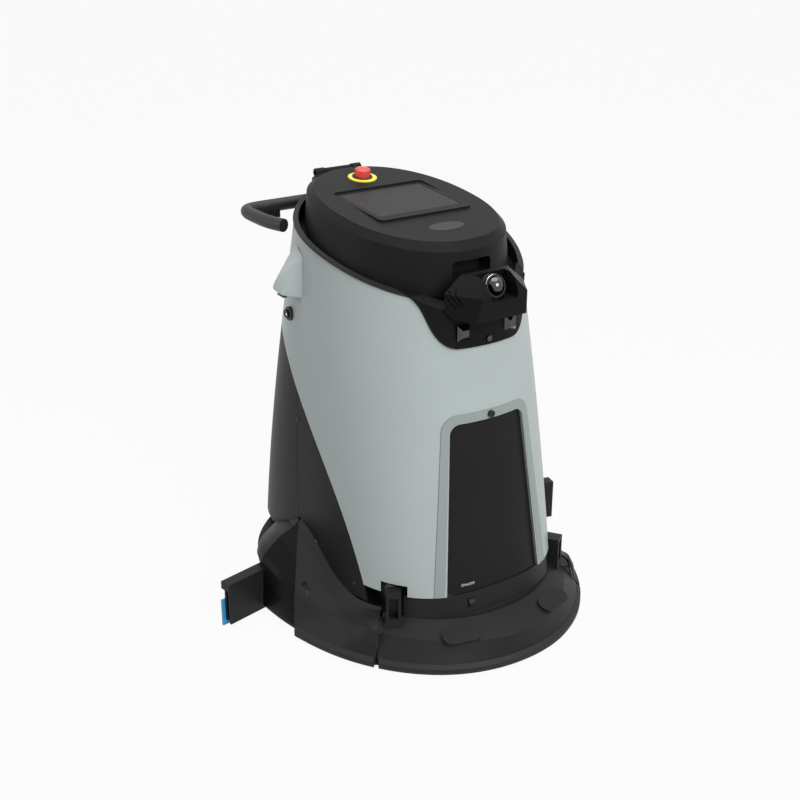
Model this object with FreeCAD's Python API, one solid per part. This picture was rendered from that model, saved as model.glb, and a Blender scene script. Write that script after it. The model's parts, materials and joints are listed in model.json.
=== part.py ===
"""Floor-scrubbing mobile robot: an upright two-tone housing on a round base.

Frame: millimetres, +Z up, the robot faces -Y, its own right hand is -X.
The origin is on the floor under the centre of the housing.
"""
import FreeCAD, Part
import math
import os
from FreeCAD import Vector

# ---------------------------------------------------------------- driving dimensions
# housing: three level ovals give its taper (low, waist, high)
HOUSING_LOW_Z, HOUSING_HIGH_Z = 150.0, 914.0
HOUSING_HALF_WIDTH = (284.0, 276.0, 248.0)
HOUSING_FRONT = (409.0, 362.0, 316.0)
HOUSING_REAR = (366.0, 325.0, 271.0)
HOUSING_MID_Y = (-26.0, -9.0, 8.0)
HOUSING_FRONT_EXPONENT = (2.77, 2.35, 2.0)
HOUSING_REAR_EXPONENT = (3.4, 2.6, 2.0)
HOUSING_LEVELS = (40.0, 380.0, 720.0, 1060.0)
SKIN = 4.0                      # moulded cover thickness
SEAM = 0.8                      # gap between two covers
SEAT = 0.3                      # clearance of curved faces that sit on each other
RIM_TILT = 13.84                # the open top slopes down to the front
RIM_Z = 914.0                   # height of the rim above HOUSING_MID_Y at the top

# base: skirt outline at the floor and the shoulder edge above it
BASE_MID_Y = 20.0
BASE_HALF_WIDTH = 404.0
BASE_FRONT = 507.0
BASE_REAR = 300.0
BASE_FRONT_EXPONENT = 2.1
BASE_REAR_EXPONENT = 1.68
SKIRT_BOTTOM_Z = 22.0
BUMPER_EDGE_Z, BUMPER_EDGE_HALF_WIDTH, BUMPER_EDGE_FRONT = 76.0, 373.0, 500.0
BUMPER_LIP_Z, BUMPER_LIP_HALF_WIDTH, BUMPER_LIP_FRONT = 104.0, 318.0, 430.0
BUMPER_TRAVEL = 4.0
STRIP_PROUD = 10.0
STRIP_BOTTOM_Z, STRIP_TOP_Z = 7.0, 31.0
ARCH_TOP_Z = 222.0

SIDE_SEAM_Y = 32.0              # rear cover to side panel
SHELL_BOTTOM_Z = 156.0
CHASSIS_Z = 212.0
CHASSIS_THICK = 6.0

# lid and what it carries
LID_TOP_TILT = 6.5
LID_TOP_Z = 983.7               # at y = 0
LID_TOP_HALF_WIDTH = 182.5
LID_TOP_FRONT, LID_TOP_REAR, LID_TOP_MID_Y = 265.0, 253.0, -20.0
LID_EDGE_GROW = 16.0
LID_EDGE_DROP = 15.0
LID_WALL_HALF_WIDTH = 224.0
LID_WALL_FRONT, LID_WALL_REAR = 286.0, 247.0
LID_SKIRT_BELOW_RIM = 12.0
LID_THICK = 5.0
LID_PIN_Y, LID_PIN_Z, LID_PIN_R = 290.0, 1001.0, 5.0
LID_LUG_X, LID_LUG_WIDE = 52.0, 24.0
RUNNING_CLEARANCE = 0.08
SCREEN_WIDE, SCREEN_DEEP, SCREEN_MID_Y = 224.0, 178.0, 8.0
BEZEL_BORDER_SIDE, BEZEL_BORDER_FRONT, BEZEL_BORDER_REAR = 13.0, 25.0, 10.0
BEZEL_PROUD = 5.0
STOP_Y = 173.0
STOP_RING_R, STOP_RING_THICK = 35.0, 2.5
STOP_HEAD_R, STOP_HEAD_HIGH, STOP_COLLAR_R, STOP_COLLAR_HIGH = 20.0, 15.0, 14.5, 14.0
STOP_TRAVEL = 4.0
PATCH_Y, PATCH_LONG, PATCH_WIDE = -180.0, 90.0, 46.0

# drive wheels, casters, brushes
WHEEL_R, WHEEL_WIDE, WHEEL_X, WHEEL_Y = 90.0, 36.0, 306.0, 40.0
TYRE_DEEP = 16.0
AXLE_R = 10.0
CASTER_R, CASTER_WIDE, CASTER_TRAIL = 32.0, 24.0, 22.0
CASTER_STEM_R, CASTER_AXLE_R = 9.0, 4.0
CASTERS = {"front": (0.0, -335.0), "rear": (0.0, 246.0)}
BRUSH_R, BRUSH_X, BRUSH_Y = 148.0, 154.0, -190.0
BRUSH_LIFT = 26.0
DECK_Z = 92.0

# squeegee
SQUEEGEE_HALF_WIDTH, SQUEEGEE_REAR, SQUEEGEE_JOIN_Y = 376.0, 350.0, 50.0
SQUEEGEE_TIP_X, SQUEEGEE_TIP_Y = 508.0, 20.0
SQUEEGEE_TOP_Z, SQUEEGEE_BAR_HIGH, SQUEEGEE_BAR_DEEP = 118.0, 20.0, 24.0
SQUEEGEE_WING_DEEP = 31.0
SQUEEGEE_SLIM_DEEP, SQUEEGEE_SLIM_TO_Y = 18.0, 200.0   # the rail is slimmer beside the wheels
SQUEEGEE_RAISE = 14.0
REAR_COVER_BOTTOM_Z = 134.0     # behind the squeegee's wings, clear of the raised squeegee

# push handle
HANDLE_Z, HANDLE_TUBE_R = 897.0, 14.0
HANDLE_REAR_Y, HANDLE_HALF_WIDTH, HANDLE_CORNER_R = 440.0, 207.0, 55.0
HANDLE_END = (191.0, 229.0)

FAR = 700.0                     # reach of cutting blocks, beyond any part of the robot
parts = {}


# ---------------------------------------------------------------- general helpers
def blend(values, t):
    """Value at t of the quadratic through three values at 0, 1/2 and 1."""
    low, mid, high = values
    return low * (1 - t) * (1 - 2 * t) + mid * 4 * t * (1 - t) + high * t * (2 * t - 1)


def oval(half_width, front, rear, mid_y, z, front_exponent=2.0, rear_exponent=2.0, tilt=0.0,
         steps=24):
    """Closed superellipse wire; front and rear are distances from y = 0, tilt lifts the rear."""
    rise = math.tan(math.radians(tilt))
    points = []
    for step in range(steps):
        angle = 2 * math.pi * step / steps
        c, s = math.cos(angle), math.sin(angle)
        exponent = front_exponent if s < 0 else rear_exponent
        length = front + mid_y if s < 0 else rear - mid_y
        x = half_width * math.copysign(abs(c) ** (2 / exponent), c)
        y = mid_y + length * math.copysign(abs(s) ** (2 / exponent), s)
        points.append(Vector(x, y, z + rise * y))
    curve = Part.BSplineCurve()
    curve.interpolate(Points=points, PeriodicFlag=True)
    return Part.Wire(curve.toShape())


def loft(wires, ruled=False):
    return Part.makeLoft(wires, True, ruled)


def block(x0, x1, y0, y1, z0, z1):
    return Part.makeBox(x1 - x0, y1 - y0, z1 - z0, Vector(x0, y0, z0))


def cylinder(radius, height, at, axis=Vector(0, 0, 1)):
    return Part.makeCylinder(radius, height, at, axis)


def ring(outer, inner, height, at, axis=Vector(0, 0, 1)):
    return cylinder(outer, height, at, axis).cut(cylinder(inner, height, at, axis))


def prism(points, direction):
    """Straight-sided block from a list of corner points."""
    wire = Part.makePolygon([Vector(*p) for p in points] + [Vector(*points[0])])
    return Part.Face(wire).extrude(direction)


def mirrored(shape):
    return shape.mirror(Vector(0, 0, 0), Vector(1, 0, 0))


def tilted(shape, angle, at):
    """Turn a shape about the X axis through a point."""
    turned = shape.copy()
    turned.rotate(at, Vector(1, 0, 0), angle)
    return turned


def turned_z(shape, angle, at):
    turned = shape.copy()
    turned.rotate(at, Vector(0, 0, 1), angle)
    return turned


def rounded_plate(wide, deep, thick, radius, centre):
    plate = block(-wide / 2, wide / 2, -deep / 2, deep / 2, 0, thick)
    corners = [e for e in plate.Edges if abs(e.Vertexes[0].Z - e.Vertexes[1].Z) > thick / 2]
    plate = plate.makeFillet(radius, corners)
    plate.translate(centre)
    return plate


def round_edges(shape, radius, keep):
    """Fillet the edges that the test picks; leave the shape as it is if they take no fillet."""
    edges = [edge for edge in shape.Edges if keep(edge)]
    return shape.makeFillet(radius, edges) if edges else shape


# ---------------------------------------------------------------- housing form
def housing_oval(z, grow=0.0):
    t = (z - HOUSING_LOW_Z) / (HOUSING_HIGH_Z - HOUSING_LOW_Z)
    return oval(blend(HOUSING_HALF_WIDTH, t) + grow, blend(HOUSING_FRONT, t) + grow,
                blend(HOUSING_REAR, t) + grow, blend(HOUSING_MID_Y, t), z,
                blend(HOUSING_FRONT_EXPONENT, t), blend(HOUSING_REAR_EXPONENT, t))


def housing(grow=0.0, low=None, high=None):
    """The solid that the housing's covers are cut from, grown or shrunk, and cut to a height."""
    form = loft([housing_oval(z, grow) for z in HOUSING_LEVELS])
    if low is None:
        return form
    return form.common(block(-FAR, FAR, -FAR, FAR, low, high or HOUSING_LEVELS[-1]))


def rim_height(y):
    return RIM_Z + (y - HOUSING_MID_Y[2]) * math.tan(math.radians(RIM_TILT))


def rim_wire(grow, offset, steps=24):
    """Outline of the grown housing in the tilted rim plane, raised by an offset."""
    points = []
    for step in range(steps):
        angle = 2 * math.pi * step / steps
        c, s = math.cos(angle), math.sin(angle)
        z = RIM_Z
        for _ in range(8):
            t = (z - HOUSING_LOW_Z) / (HOUSING_HIGH_Z - HOUSING_LOW_Z)
            half_width, mid_y = blend(HOUSING_HALF_WIDTH, t) + grow, blend(HOUSING_MID_Y, t)
            if s < 0:
                length, exponent = blend(HOUSING_FRONT, t) + grow + mid_y, blend(HOUSING_FRONT_EXPONENT, t)
            else:
                length, exponent = blend(HOUSING_REAR, t) + grow - mid_y, blend(HOUSING_REAR_EXPONENT, t)
            x = half_width * math.copysign(abs(c) ** (2 / exponent), c)
            y = mid_y + length * math.copysign(abs(s) ** (2 / exponent), s)
            z = rim_height(y) + offset
        points.append(Vector(x, y, z))
    curve = Part.BSplineCurve()
    curve.interpolate(Points=points, PeriodicFlag=True)
    return Part.Wire(curve.toShape())


def rim_loft(sections):
    """Solid between outlines given as grow and rim offset, from the lowest up."""
    return loft([rim_wire(grow, offset) for grow, offset in sections], ruled=True)


def above_rim(offset):
    """Everything above the tilted rim plane raised by an offset."""
    at = Vector(0, HOUSING_MID_Y[2], RIM_Z)
    half_space = block(-FAR, FAR, -FAR, FAR, RIM_Z + offset, RIM_Z + FAR)
    return tilted(half_space, RIM_TILT, at)


def lid_top_height(y):
    return LID_TOP_Z + y * math.tan(math.radians(LID_TOP_TILT))


def on_lid(shape, y, drop=0.0):
    """Stand a shape that was made at the origin on the lid's sloping top."""
    placed = shape.copy()
    placed.rotate(Vector(0, 0, 0), Vector(1, 0, 0), LID_TOP_TILT)
    placed.translate(Vector(0, y, lid_top_height(y) - drop))
    return placed


# ---------------------------------------------------------------- seams between the covers
SEAM_CURVE = [(-256, 60), (-244, 129), (-210, 221), (-144, 341), (-16, 500), (57, 581),
              (125, 646), (210, 690), (320, 712), (450, 718)]


def seam_region(shift):
    """Block in front of and above the long side seam; shift moves the seam down and back."""
    curve = Part.BSplineCurve()
    curve.interpolate([Vector(-FAR, y + shift, z - shift) for y, z in SEAM_CURVE])
    first, last = curve.StartPoint, curve.EndPoint
    outline = [last, Vector(-FAR, FAR, last.z), Vector(-FAR, FAR, 1300), Vector(-FAR, -FAR, 1300),
               Vector(-FAR, -FAR, first.z), first]
    edges = [curve.toShape()] + [Part.makeLine(a, b) for a, b in zip(outline, outline[1:])]
    return Part.Face(Part.Wire(edges)).extrude(Vector(2 * FAR, 0, 0))


def pod_region(gap):
    """Front cut-out of the grey shell, seen from the front, shrunk by a gap."""
    half = [(182, 905), (178, 872), (150, 842), (131, 799), (117, 764), (98, 742), (76, 734)]
    right = [Vector(x - gap, -FAR, z + (gap if z < 760 else 0)) for x, z in half]
    left = [Vector(-p.x, -FAR, p.z) for p in right]
    floor = [right[-1], left[-1]]
    edge_right = Part.BSplineCurve()
    edge_right.interpolate(right)
    edge_left = Part.BSplineCurve()
    edge_left.interpolate(left)
    top_right, top_left = Vector(right[0].x, -FAR, 960), Vector(left[0].x, -FAR, 960)
    wire = Part.Wire([edge_right.toShape(), Part.makeLine(*floor), edge_left.toShape(),
                      Part.makeLine(left[0], top_left), Part.makeLine(top_left, top_right),
                      Part.makeLine(top_right, right[0])])
    return Part.Face(wire).extrude(Vector(0, FAR - 150, 0))


def panel_region(gap, border=0.0):
    """Front panel's outline, a trapezium with round upper corners."""
    low, top, bottom_z, top_z = 138.0 + border, 100.0 + border, SHELL_BOTTOM_Z - 60, 562.0 + border
    slope = (low - top) / (top_z - bottom_z)
    corners = [(-low - slope * 10 + gap, bottom_z), (low + slope * 10 - gap, bottom_z),
               (top - gap, top_z - gap), (-top + gap, top_z - gap)]
    body = prism([(x, -FAR, z) for x, z in corners], Vector(0, FAR - 180, 0))
    return round_edges(body, 26.0 + border / 2, lambda e: e.Vertexes[0].Z > top_z - gap - 1
                       and e.Vertexes[-1].Z > top_z - gap - 1
                       and abs(e.Vertexes[0].Y - e.Vertexes[-1].Y) > 100)


# ---------------------------------------------------------------- base form
def half_width_at(y, half_width, front, mid_y, exponent):
    """Half width of an oval's front half at a given y."""
    share = min(abs(y - mid_y) / (front + mid_y), 1.0)
    return half_width * (1 - share ** exponent) ** (1 / exponent)


def base_oval(z, grow=0.0, slope=0.0):
    """The skirt's outline; slope lowers it towards the rear from the middle of the base."""
    return oval(BASE_HALF_WIDTH + grow, BASE_FRONT + grow, BASE_REAR + grow, BASE_MID_Y,
                z - slope * BASE_MID_Y, BASE_FRONT_EXPONENT, BASE_REAR_EXPONENT,
                math.degrees(math.atan(slope)))


# arch levels: height at the middle of the base, share of the way in to the housing, slope
ARCH_LEVELS = [(31, 0.0, 0.0), (100, 0.015, -0.05), (140, 0.06, -0.12), (154, 0.13, -0.16),
               (190, 0.5, -0.25), (208, 0.86, -0.3), (ARCH_TOP_Z, 1.0, -0.34)]


def arch_oval(z, share, slope, inset):
    low = HOUSING_HALF_WIDTH[0]
    width = BASE_HALF_WIDTH + (low - BASE_HALF_WIDTH) * share - inset
    rear = BASE_REAR + (HOUSING_REAR[0] - 90 - BASE_REAR) * share - inset
    return oval(width, BASE_FRONT - inset, rear, BASE_MID_Y, z - slope * BASE_MID_Y,
                BASE_FRONT_EXPONENT, BASE_REAR_EXPONENT, math.degrees(math.atan(slope)))


def rear_arches(inset):
    """Rear half of the base: wheel arches that swell out of the housing's sides."""
    drop = inset * 0.8
    bottom = SKIRT_BOTTOM_Z - 2 * inset
    wires = [arch_oval(bottom, 0.0, 0.0, inset)]
    wires += [arch_oval(z - drop, share, slope, inset) for z, share, slope in ARCH_LEVELS]
    body = loft(wires, ruled=True)
    return body.common(block(-FAR, FAR, BASE_MID_Y, FAR, 0, 400))


# stations of the side fairing: y, then height and inset from the outline of each corner,
# with the last two measured from the housing's side
FAIRING_STATIONS = [
    (20.0, (100, 2), (140, 8), (154, 16), (190, 61), (208, 14), (222, 0)),
    (-36.0, (90, 3), (124, 12), (137, 22), (164, 62), (186, 13), (202, 0)),
    (-105.0, (72, 10), (98, 24), (106, 35), (124, 70), (142, 12), (158, 0)),
    (-166.0, (60, 26), (76, 41), (82, 50), (95, 78), (108, 12), (126, 0)),
    (-245.0, (60, 26), (76, 40), (81, 48), (90, 66), (101, 10), (115, 0)),
    (-350.0, (60, 24), (76, 38), (81, 45), (88, 58), (97, 8), (107, 0)),
]


def fairing_section(station, inset, past_y=0.0):
    y = station[0]
    outer = half_width_at(y, BASE_HALF_WIDTH, BASE_FRONT, BASE_MID_Y, BASE_FRONT_EXPONENT)
    inner = half_width_at(y, HOUSING_HALF_WIDTH[0], HOUSING_FRONT[0], HOUSING_MID_Y[0],
                          HOUSING_FRONT_EXPONENT[0])
    drop = inset * 0.8
    corners = [(outer - inset, SKIRT_BOTTOM_Z - 2 * inset), (outer - inset, 31.0)]
    corners += [(outer - reach - inset, z - drop) for z, reach in station[1:5]]
    corners += [(inner + reach - inset, z - drop) for z, reach in station[5:]]
    tail = inner - 5 - 8 * inset
    corners += [(tail, station[-1][0] - drop), (tail, SKIRT_BOTTOM_Z - 2 * inset)]
    points = [Vector(-x, y + past_y, z) for x, z in corners]
    return Part.makePolygon(points + [points[0]])


def side_fairing_form(inset):
    last = len(FAIRING_STATIONS) - 1
    wires = []
    for index, station in enumerate(FAIRING_STATIONS):
        past = 1.0 if index == 0 else -1.0 if index == last else 0.0
        wires.append(fairing_section(station, inset, past * bool(inset)))
    return loft(wires)


def fairing_forms(inset):
    return [side_fairing_form(inset), mirrored(side_fairing_form(inset))]


# seams in the base, seen from above (robot's right side)
BUMPER_SEAM = ((-200.0, -235.0), (-700.0, -790.0))
ARCH_SEAM = ((-284.0, 32.0), (-390.0, -125.0))


def bumper_region(gap):
    """Everything ahead of the two slanting bumper seams, moved forward by a gap."""
    (xi, yi), (xo, yo) = BUMPER_SEAM
    return prism([(xi, yi - gap, -50), (xo, yo - gap, -50), (xo, -900, -50), (-xo, -900, -50),
                  (-xo, yo - gap, -50), (-xi, yi - gap, -50)], Vector(0, 0, 500))


def rear_region(gap):
    """Everything behind the two slanting arch seams, moved back by a gap."""
    (xi, yi), (xo, yo) = ARCH_SEAM
    slope = (yo - yi) / (xo - xi)
    far_y = yi + (-FAR - xi) * slope
    return prism([(xi, yi + gap, -50), (-FAR, far_y + gap, -50), (-FAR, FAR, -50), (FAR, FAR, -50),
                  (FAR, far_y + gap, -50), (-xi, yi + gap, -50)], Vector(0, 0, 2000))


# ---------------------------------------------------------------- covers of the housing
OUTER = housing(0.0, 60.0, 1040.0)
SKIN_FORM = OUTER.cut(housing(-SKIN))
HOUSING_BOTTOM_Z = 120.0
APRON_LOW_Z = 104.0
PANEL_BEVEL, PANEL_DEPTH = 12.0, 14.0
POST_X, POST_Y, POST_TURN = 235.0, -322.0, 35.0
POST_WIDE, POST_DEEP, POST_TOP_Z = 34.0, 40.0, 172.0
NOTCH_WIDE, NOTCH_TOP_Z = 62.0, 182.0


def below(z):
    return block(-FAR, FAR, -FAR, FAR, -50, z)


def at_post(shape, side):
    """Place a shape made at the origin on one of the two bumper posts (side is -1 or 1)."""
    placed = turned_z(shape, side * POST_TURN, Vector(0, 0, 0))
    placed.translate(Vector(side * POST_X, POST_Y, 0))
    return placed


def front_shell():
    """Grey moulding: the whole front and upper housing down to the slanting side seams."""
    hollow = housing(-SKIN).cut(panel_region(0, 22))
    shell = OUTER.cut(hollow).cut(housing(-PANEL_DEPTH))
    shell = shell.common(seam_region(0))
    notch = block(-NOTCH_WIDE / 2, NOTCH_WIDE / 2, -60, 60, 0, NOTCH_TOP_Z)
    notches = [at_post(notch, side) for side in (-1, 1)]
    notches.append(lock_cylinder(LOCK_R + RUNNING_CLEARANCE))
    for tool in [above_rim(0), pod_region(0), below(SHELL_BOTTOM_Z), panel_region(0)] + notches:
        shell = shell.cut(tool)
    return largest(shell)


def front_panel():
    """Dark panel set back inside the shell's opening, with a turned-in border."""
    slab = housing(-PANEL_DEPTH + 6, 100.0, 700.0).cut(housing(-PANEL_DEPTH + 2))
    return slab.common(panel_region(SEAM)).cut(below(SHELL_BOTTOM_Z))


def under_fairing_line(gap):
    """Everything below the upper edge of the side fairings."""
    line = [(station[0], station[-1][0] + gap) for station in FAIRING_STATIONS]
    ends = [(FAR, line[0][1])] + line + [(-FAR, line[-1][1])]
    return prism([(-FAR, y, z) for y, z in ends + [(-FAR, -50), (FAR, -50)]], Vector(2 * FAR, 0, 0))


def side_panel():
    """Black side panel between the grey shell and the rear cover (robot's right)."""
    panel = SKIN_FORM.cut([seam_region(SEAM), rear_region(-SEAM), under_fairing_line(SEAM)])
    return panel.common(block(-FAR, 0, -FAR, FAR, 0, 1200))


def rear_cover():
    """Rear half of the housing in one moulding with the wheel arches."""
    outside = housing(0, HOUSING_BOTTOM_Z).fuse([rear_arches(0)] + fairing_forms(0))
    inside = housing(-SKIN, HOUSING_BOTTOM_Z - 5).fuse([rear_arches(SKIN)] + fairing_forms(SKIN))
    cover = outside.cut(inside).cut(seam_region(SEAM)).common(rear_region(0))
    under = block(-FAR, FAR, 8, FAR, 0, REAR_COVER_BOTTOM_Z)
    for tool in (under, block(-70, PIPE_X + 35, 250, 450, 0, 200), fill_bore(FILL_NECK_R + SEAT)):
        cover = cover.cut(tool)
    return largest(cover)


def largest(shape):
    return max(shape.Solids, key=lambda solid: solid.Volume)


def front_apron():
    """Black ring that closes the housing below the grey shell, behind the bumper."""
    outside = housing(-SKIN - SEAT, APRON_LOW_Z, SHELL_BOTTOM_Z - SEAT)
    wall = outside.cut(housing(-2 * SKIN - SEAT))
    apron = wall.common(block(-FAR, FAR, -FAR, -150, 0, 300))
    x, y, z = ROCKER
    housing_front = block(-FAR, FAR, -FAR, FAR, 0, 200).cut(outside)
    housing_box = block(x - 12, x + 12, y - 4, y + 12, z - 14, z + 14).cut(housing_front)
    apron = apron.fuse(housing_box).cut(block(x - 8, x + 8, y - 40, y + 9, z - 11, z + 11))
    apron = apron.cut(cylinder(2.0 + RUNNING_CLEARANCE, 22, Vector(x - 11, y, z), Vector(1, 0, 0)))
    notch = block(-POST_WIDE / 2 - 5, POST_WIDE / 2 + 5, -60, 60, 0, POST_TOP_Z + SEAM)
    return largest(apron.cut([at_post(notch, side) for side in (-1, 1)]))


# ---------------------------------------------------------------- base mouldings
def side_fairing():
    """Hollow moulding between bumper and wheel arch (robot's right)."""
    fairing = side_fairing_form(0).cut(side_fairing_form(SKIN))
    fairing = fairing.cut([bumper_region(0), rear_region(-SEAM), housing(SEAT)])
    slot = block(-352, -340, -120, -96, 60, 140)
    return largest(fairing.cut(slot))


def bumper_form(inset):
    drop = inset * 0.8
    skirt = oval(BASE_HALF_WIDTH - inset, BASE_FRONT - inset, BASE_REAR, BASE_MID_Y,
                 SKIRT_BOTTOM_Z - 2 * inset, BASE_FRONT_EXPONENT, BASE_REAR_EXPONENT)
    turn = oval(BASE_HALF_WIDTH - inset, BASE_FRONT - inset, BASE_REAR, BASE_MID_Y,
                STRIP_TOP_Z, BASE_FRONT_EXPONENT, BASE_REAR_EXPONENT)
    edge = oval(BUMPER_EDGE_HALF_WIDTH - inset, BUMPER_EDGE_FRONT - inset, BASE_REAR - 20, 10,
                BUMPER_EDGE_Z - drop, 1.9, 2.0)
    lip = oval(BUMPER_LIP_HALF_WIDTH - inset, BUMPER_LIP_FRONT - inset, BASE_REAR - 60, 0,
               BUMPER_LIP_Z - drop, 2.2, 2.0)
    return loft([skirt, turn, edge, lip], ruled=True)


PAD_X, PAD_Y, PAD_LONG, PAD_WIDE, PAD_TILT = 135.0, -451.0, 92.0, 46.0, 22.0


def at_pad(shape, side):
    """Place a shape made at the origin in one of the bumper's two top recesses."""
    placed = tilted(shape, PAD_TILT, Vector(0, 0, 0))
    placed = turned_z(placed, side * 15.0, Vector(0, 0, 0))
    placed.translate(Vector(side * PAD_X, PAD_Y, BUMPER_LIP_Z - 9))
    return placed


def lip_prism(inset):
    """Upright block inside the bumper's lip."""
    return loft([oval(BUMPER_LIP_HALF_WIDTH - inset, BUMPER_LIP_FRONT - inset, BASE_REAR - 60, 0,
                      z, 2.2, 2.0) for z in (BUMPER_EDGE_Z, BUMPER_LIP_Z + 20)])


def front_bumper():
    """Floating bumper: skirt, sloping top with two oval recesses, open behind."""
    body = bumper_form(0).cut(bumper_form(SKIN)).common(bumper_region(BUMPER_TRAVEL + SEAM))
    body = body.cut(lip_prism(5.0))
    well = [at_pad(rounded_plate(PAD_LONG + 10, PAD_WIDE + 10, 60, (PAD_WIDE + 10) / 2 - 0.5,
                                 Vector(0, 0, -14)), side) for side in (-1, 1)]
    cut = [at_pad(rounded_plate(PAD_LONG + 2, PAD_WIDE + 2, 60, (PAD_WIDE + 2) / 2 - 0.5,
                                Vector(0, 0, -10)), side) for side in (-1, 1)]
    wells = [shape.common(bumper_form(1)) for shape in well]
    body = largest(body.fuse(wells).cut(cut))
    return body


def bumper_pads():
    return Part.makeCompound([at_pad(rounded_plate(PAD_LONG, PAD_WIDE, 6, PAD_WIDE / 2 - 0.5,
                                                   Vector(0, 0, -10)), side) for side in (-1, 1)])


def strip_ring():
    """Rubber strip round the skirt, before it is parted at the seams."""
    def level(z, grow):
        return oval(BASE_HALF_WIDTH + grow, BASE_FRONT + grow, BASE_REAR + grow, BASE_MID_Y, z,
                    BASE_FRONT_EXPONENT, BASE_REAR_EXPONENT)
    outside = loft([level(STRIP_BOTTOM_Z, STRIP_PROUD - 3), level(STRIP_BOTTOM_Z + 6, STRIP_PROUD),
                    level(STRIP_TOP_Z - 8, STRIP_PROUD), level(STRIP_TOP_Z, 1.0)], ruled=True)
    inside = loft([level(STRIP_BOTTOM_Z - 5, SEAT), level(STRIP_TOP_Z + 5, SEAT)])
    return outside.cut(inside)


def bumper_strip():
    return largest(strip_ring().common(bumper_region(BUMPER_TRAVEL + SEAM + 6)))


def side_strip():
    strip = strip_ring().common(block(-FAR, 0, -FAR, FAR, -10, 60))
    return largest(strip.cut([bumper_region(-6), rear_region(-SEAM), side_fairing_form(0)]))


def bumper_posts():
    """Two posts on the bumper that stand in the shell's notches and carry its switches."""
    posts = []
    for side in (-1, 1):
        post = block(-POST_WIDE / 2, POST_WIDE / 2, -POST_DEEP / 2, POST_DEEP / 2,
                     BUMPER_EDGE_Z, POST_TOP_Z)
        post = post.cut(block(-POST_WIDE / 2 + 6, POST_WIDE / 2 - 6, -POST_DEEP, 0,
                              BUMPER_LIP_Z + 6, POST_TOP_Z - 8))
        posts.append(largest(at_post(post, side).cut(bumper_form(0))))
    return Part.makeCompound(posts)


# ---------------------------------------------------------------- rim, tank and lid
GUTTER_DEEP = 40.0
TANK_INSET = 34.0


def between_rim(low, high):
    """Slab between two planes parallel to the rim."""
    return above_rim(low).cut(above_rim(high))


def rim_gutter():
    """Black channel round the mouth of the housing, with a lip on the shell's edge."""
    inner, wall = -9.0, -SKIN - SEAT
    low, floor = -GUTTER_DEEP - 4, -GUTTER_DEEP
    outside = rim_loft([(wall, low), (wall, SEAT)]).fuse(rim_loft([(3.5, SEAT), (2.5, 5.0)]))
    channel = rim_loft([(inner, floor), (inner, 6.0)])
    mouth = rim_loft([(-TANK_INSET - 6, low - 1), (-TANK_INSET - 6, floor + 1)])
    return largest(outside.cut(channel).cut(mouth).cut(pod_block(0)).cut(lid_form(-2.0)))


def recovery_tank():
    """Open dirty-water tank that hangs under the gutter."""
    top = -GUTTER_DEEP - 4 - SEAT
    outside = housing(-TANK_INSET, TANK_BOTTOM_Z).cut(above_rim(top))
    return outside.cut(housing(-TANK_INSET - SKIN, TANK_BOTTOM_Z + SKIN))


TANK_BOTTOM_Z = 512.0


def lid_form(inset):
    drop = max(inset, 0.0)
    top = oval(LID_TOP_HALF_WIDTH - inset, LID_TOP_FRONT - inset, LID_TOP_REAR - inset,
               LID_TOP_MID_Y, LID_TOP_Z - drop, 2.2, 2.2, LID_TOP_TILT)
    edge = oval(LID_TOP_HALF_WIDTH + LID_EDGE_GROW - inset, LID_TOP_FRONT + LID_EDGE_GROW - inset,
                LID_TOP_REAR + LID_EDGE_GROW - inset, LID_TOP_MID_Y,
                LID_TOP_Z - LID_EDGE_DROP - drop * 0.6, 2.2, 2.2, LID_TOP_TILT + 0.6)
    foot = oval(LID_WALL_HALF_WIDTH - inset, LID_WALL_FRONT - inset, LID_WALL_REAR - inset,
                -8.0, rim_height(0) - LID_SKIRT_BELOW_RIM - 3 * drop, 2.0, 2.0, RIM_TILT)
    return loft([foot, edge, top], ruled=True)


BEZEL_TILT = 4.0
BEZEL_DEEP = SCREEN_DEEP + BEZEL_BORDER_FRONT + BEZEL_BORDER_REAR
BEZEL_WIDE = SCREEN_WIDE + 2 * BEZEL_BORDER_SIDE
BEZEL_Y = SCREEN_MID_Y - (BEZEL_BORDER_FRONT - BEZEL_BORDER_REAR) / 2


def on_bezel(shape, y=0.0, drop=0.0):
    """Place a shape made at the origin on the display's own, flatter plane."""
    placed = shape.copy()
    placed.rotate(Vector(0, 0, 0), Vector(1, 0, 0), BEZEL_TILT)
    slope = math.tan(math.radians(BEZEL_TILT))
    placed.translate(Vector(0, BEZEL_Y + y, lid_top_height(BEZEL_Y) + 0.5 + y * slope - drop))
    return placed


POCKET_X, POCKET_Z, POCKET_WIDE, POCKET_HIGH, POCKET_DEEP = 0.0, 892.0, 104.0, 40.0, 42.0


def pocket_form(grow):
    """Finger pocket in the front wall of the lid."""
    box = block(-POCKET_WIDE / 2 - grow, POCKET_WIDE / 2 + grow, -330, -276 + POCKET_DEEP + grow,
                POCKET_Z - POCKET_HIGH / 2 - grow, POCKET_Z + POCKET_HIGH / 2 + grow)
    return round_edges(box, 12.0 + grow, lambda e: abs(e.Vertexes[0].Y - e.Vertexes[-1].Y) > 20)


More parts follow.
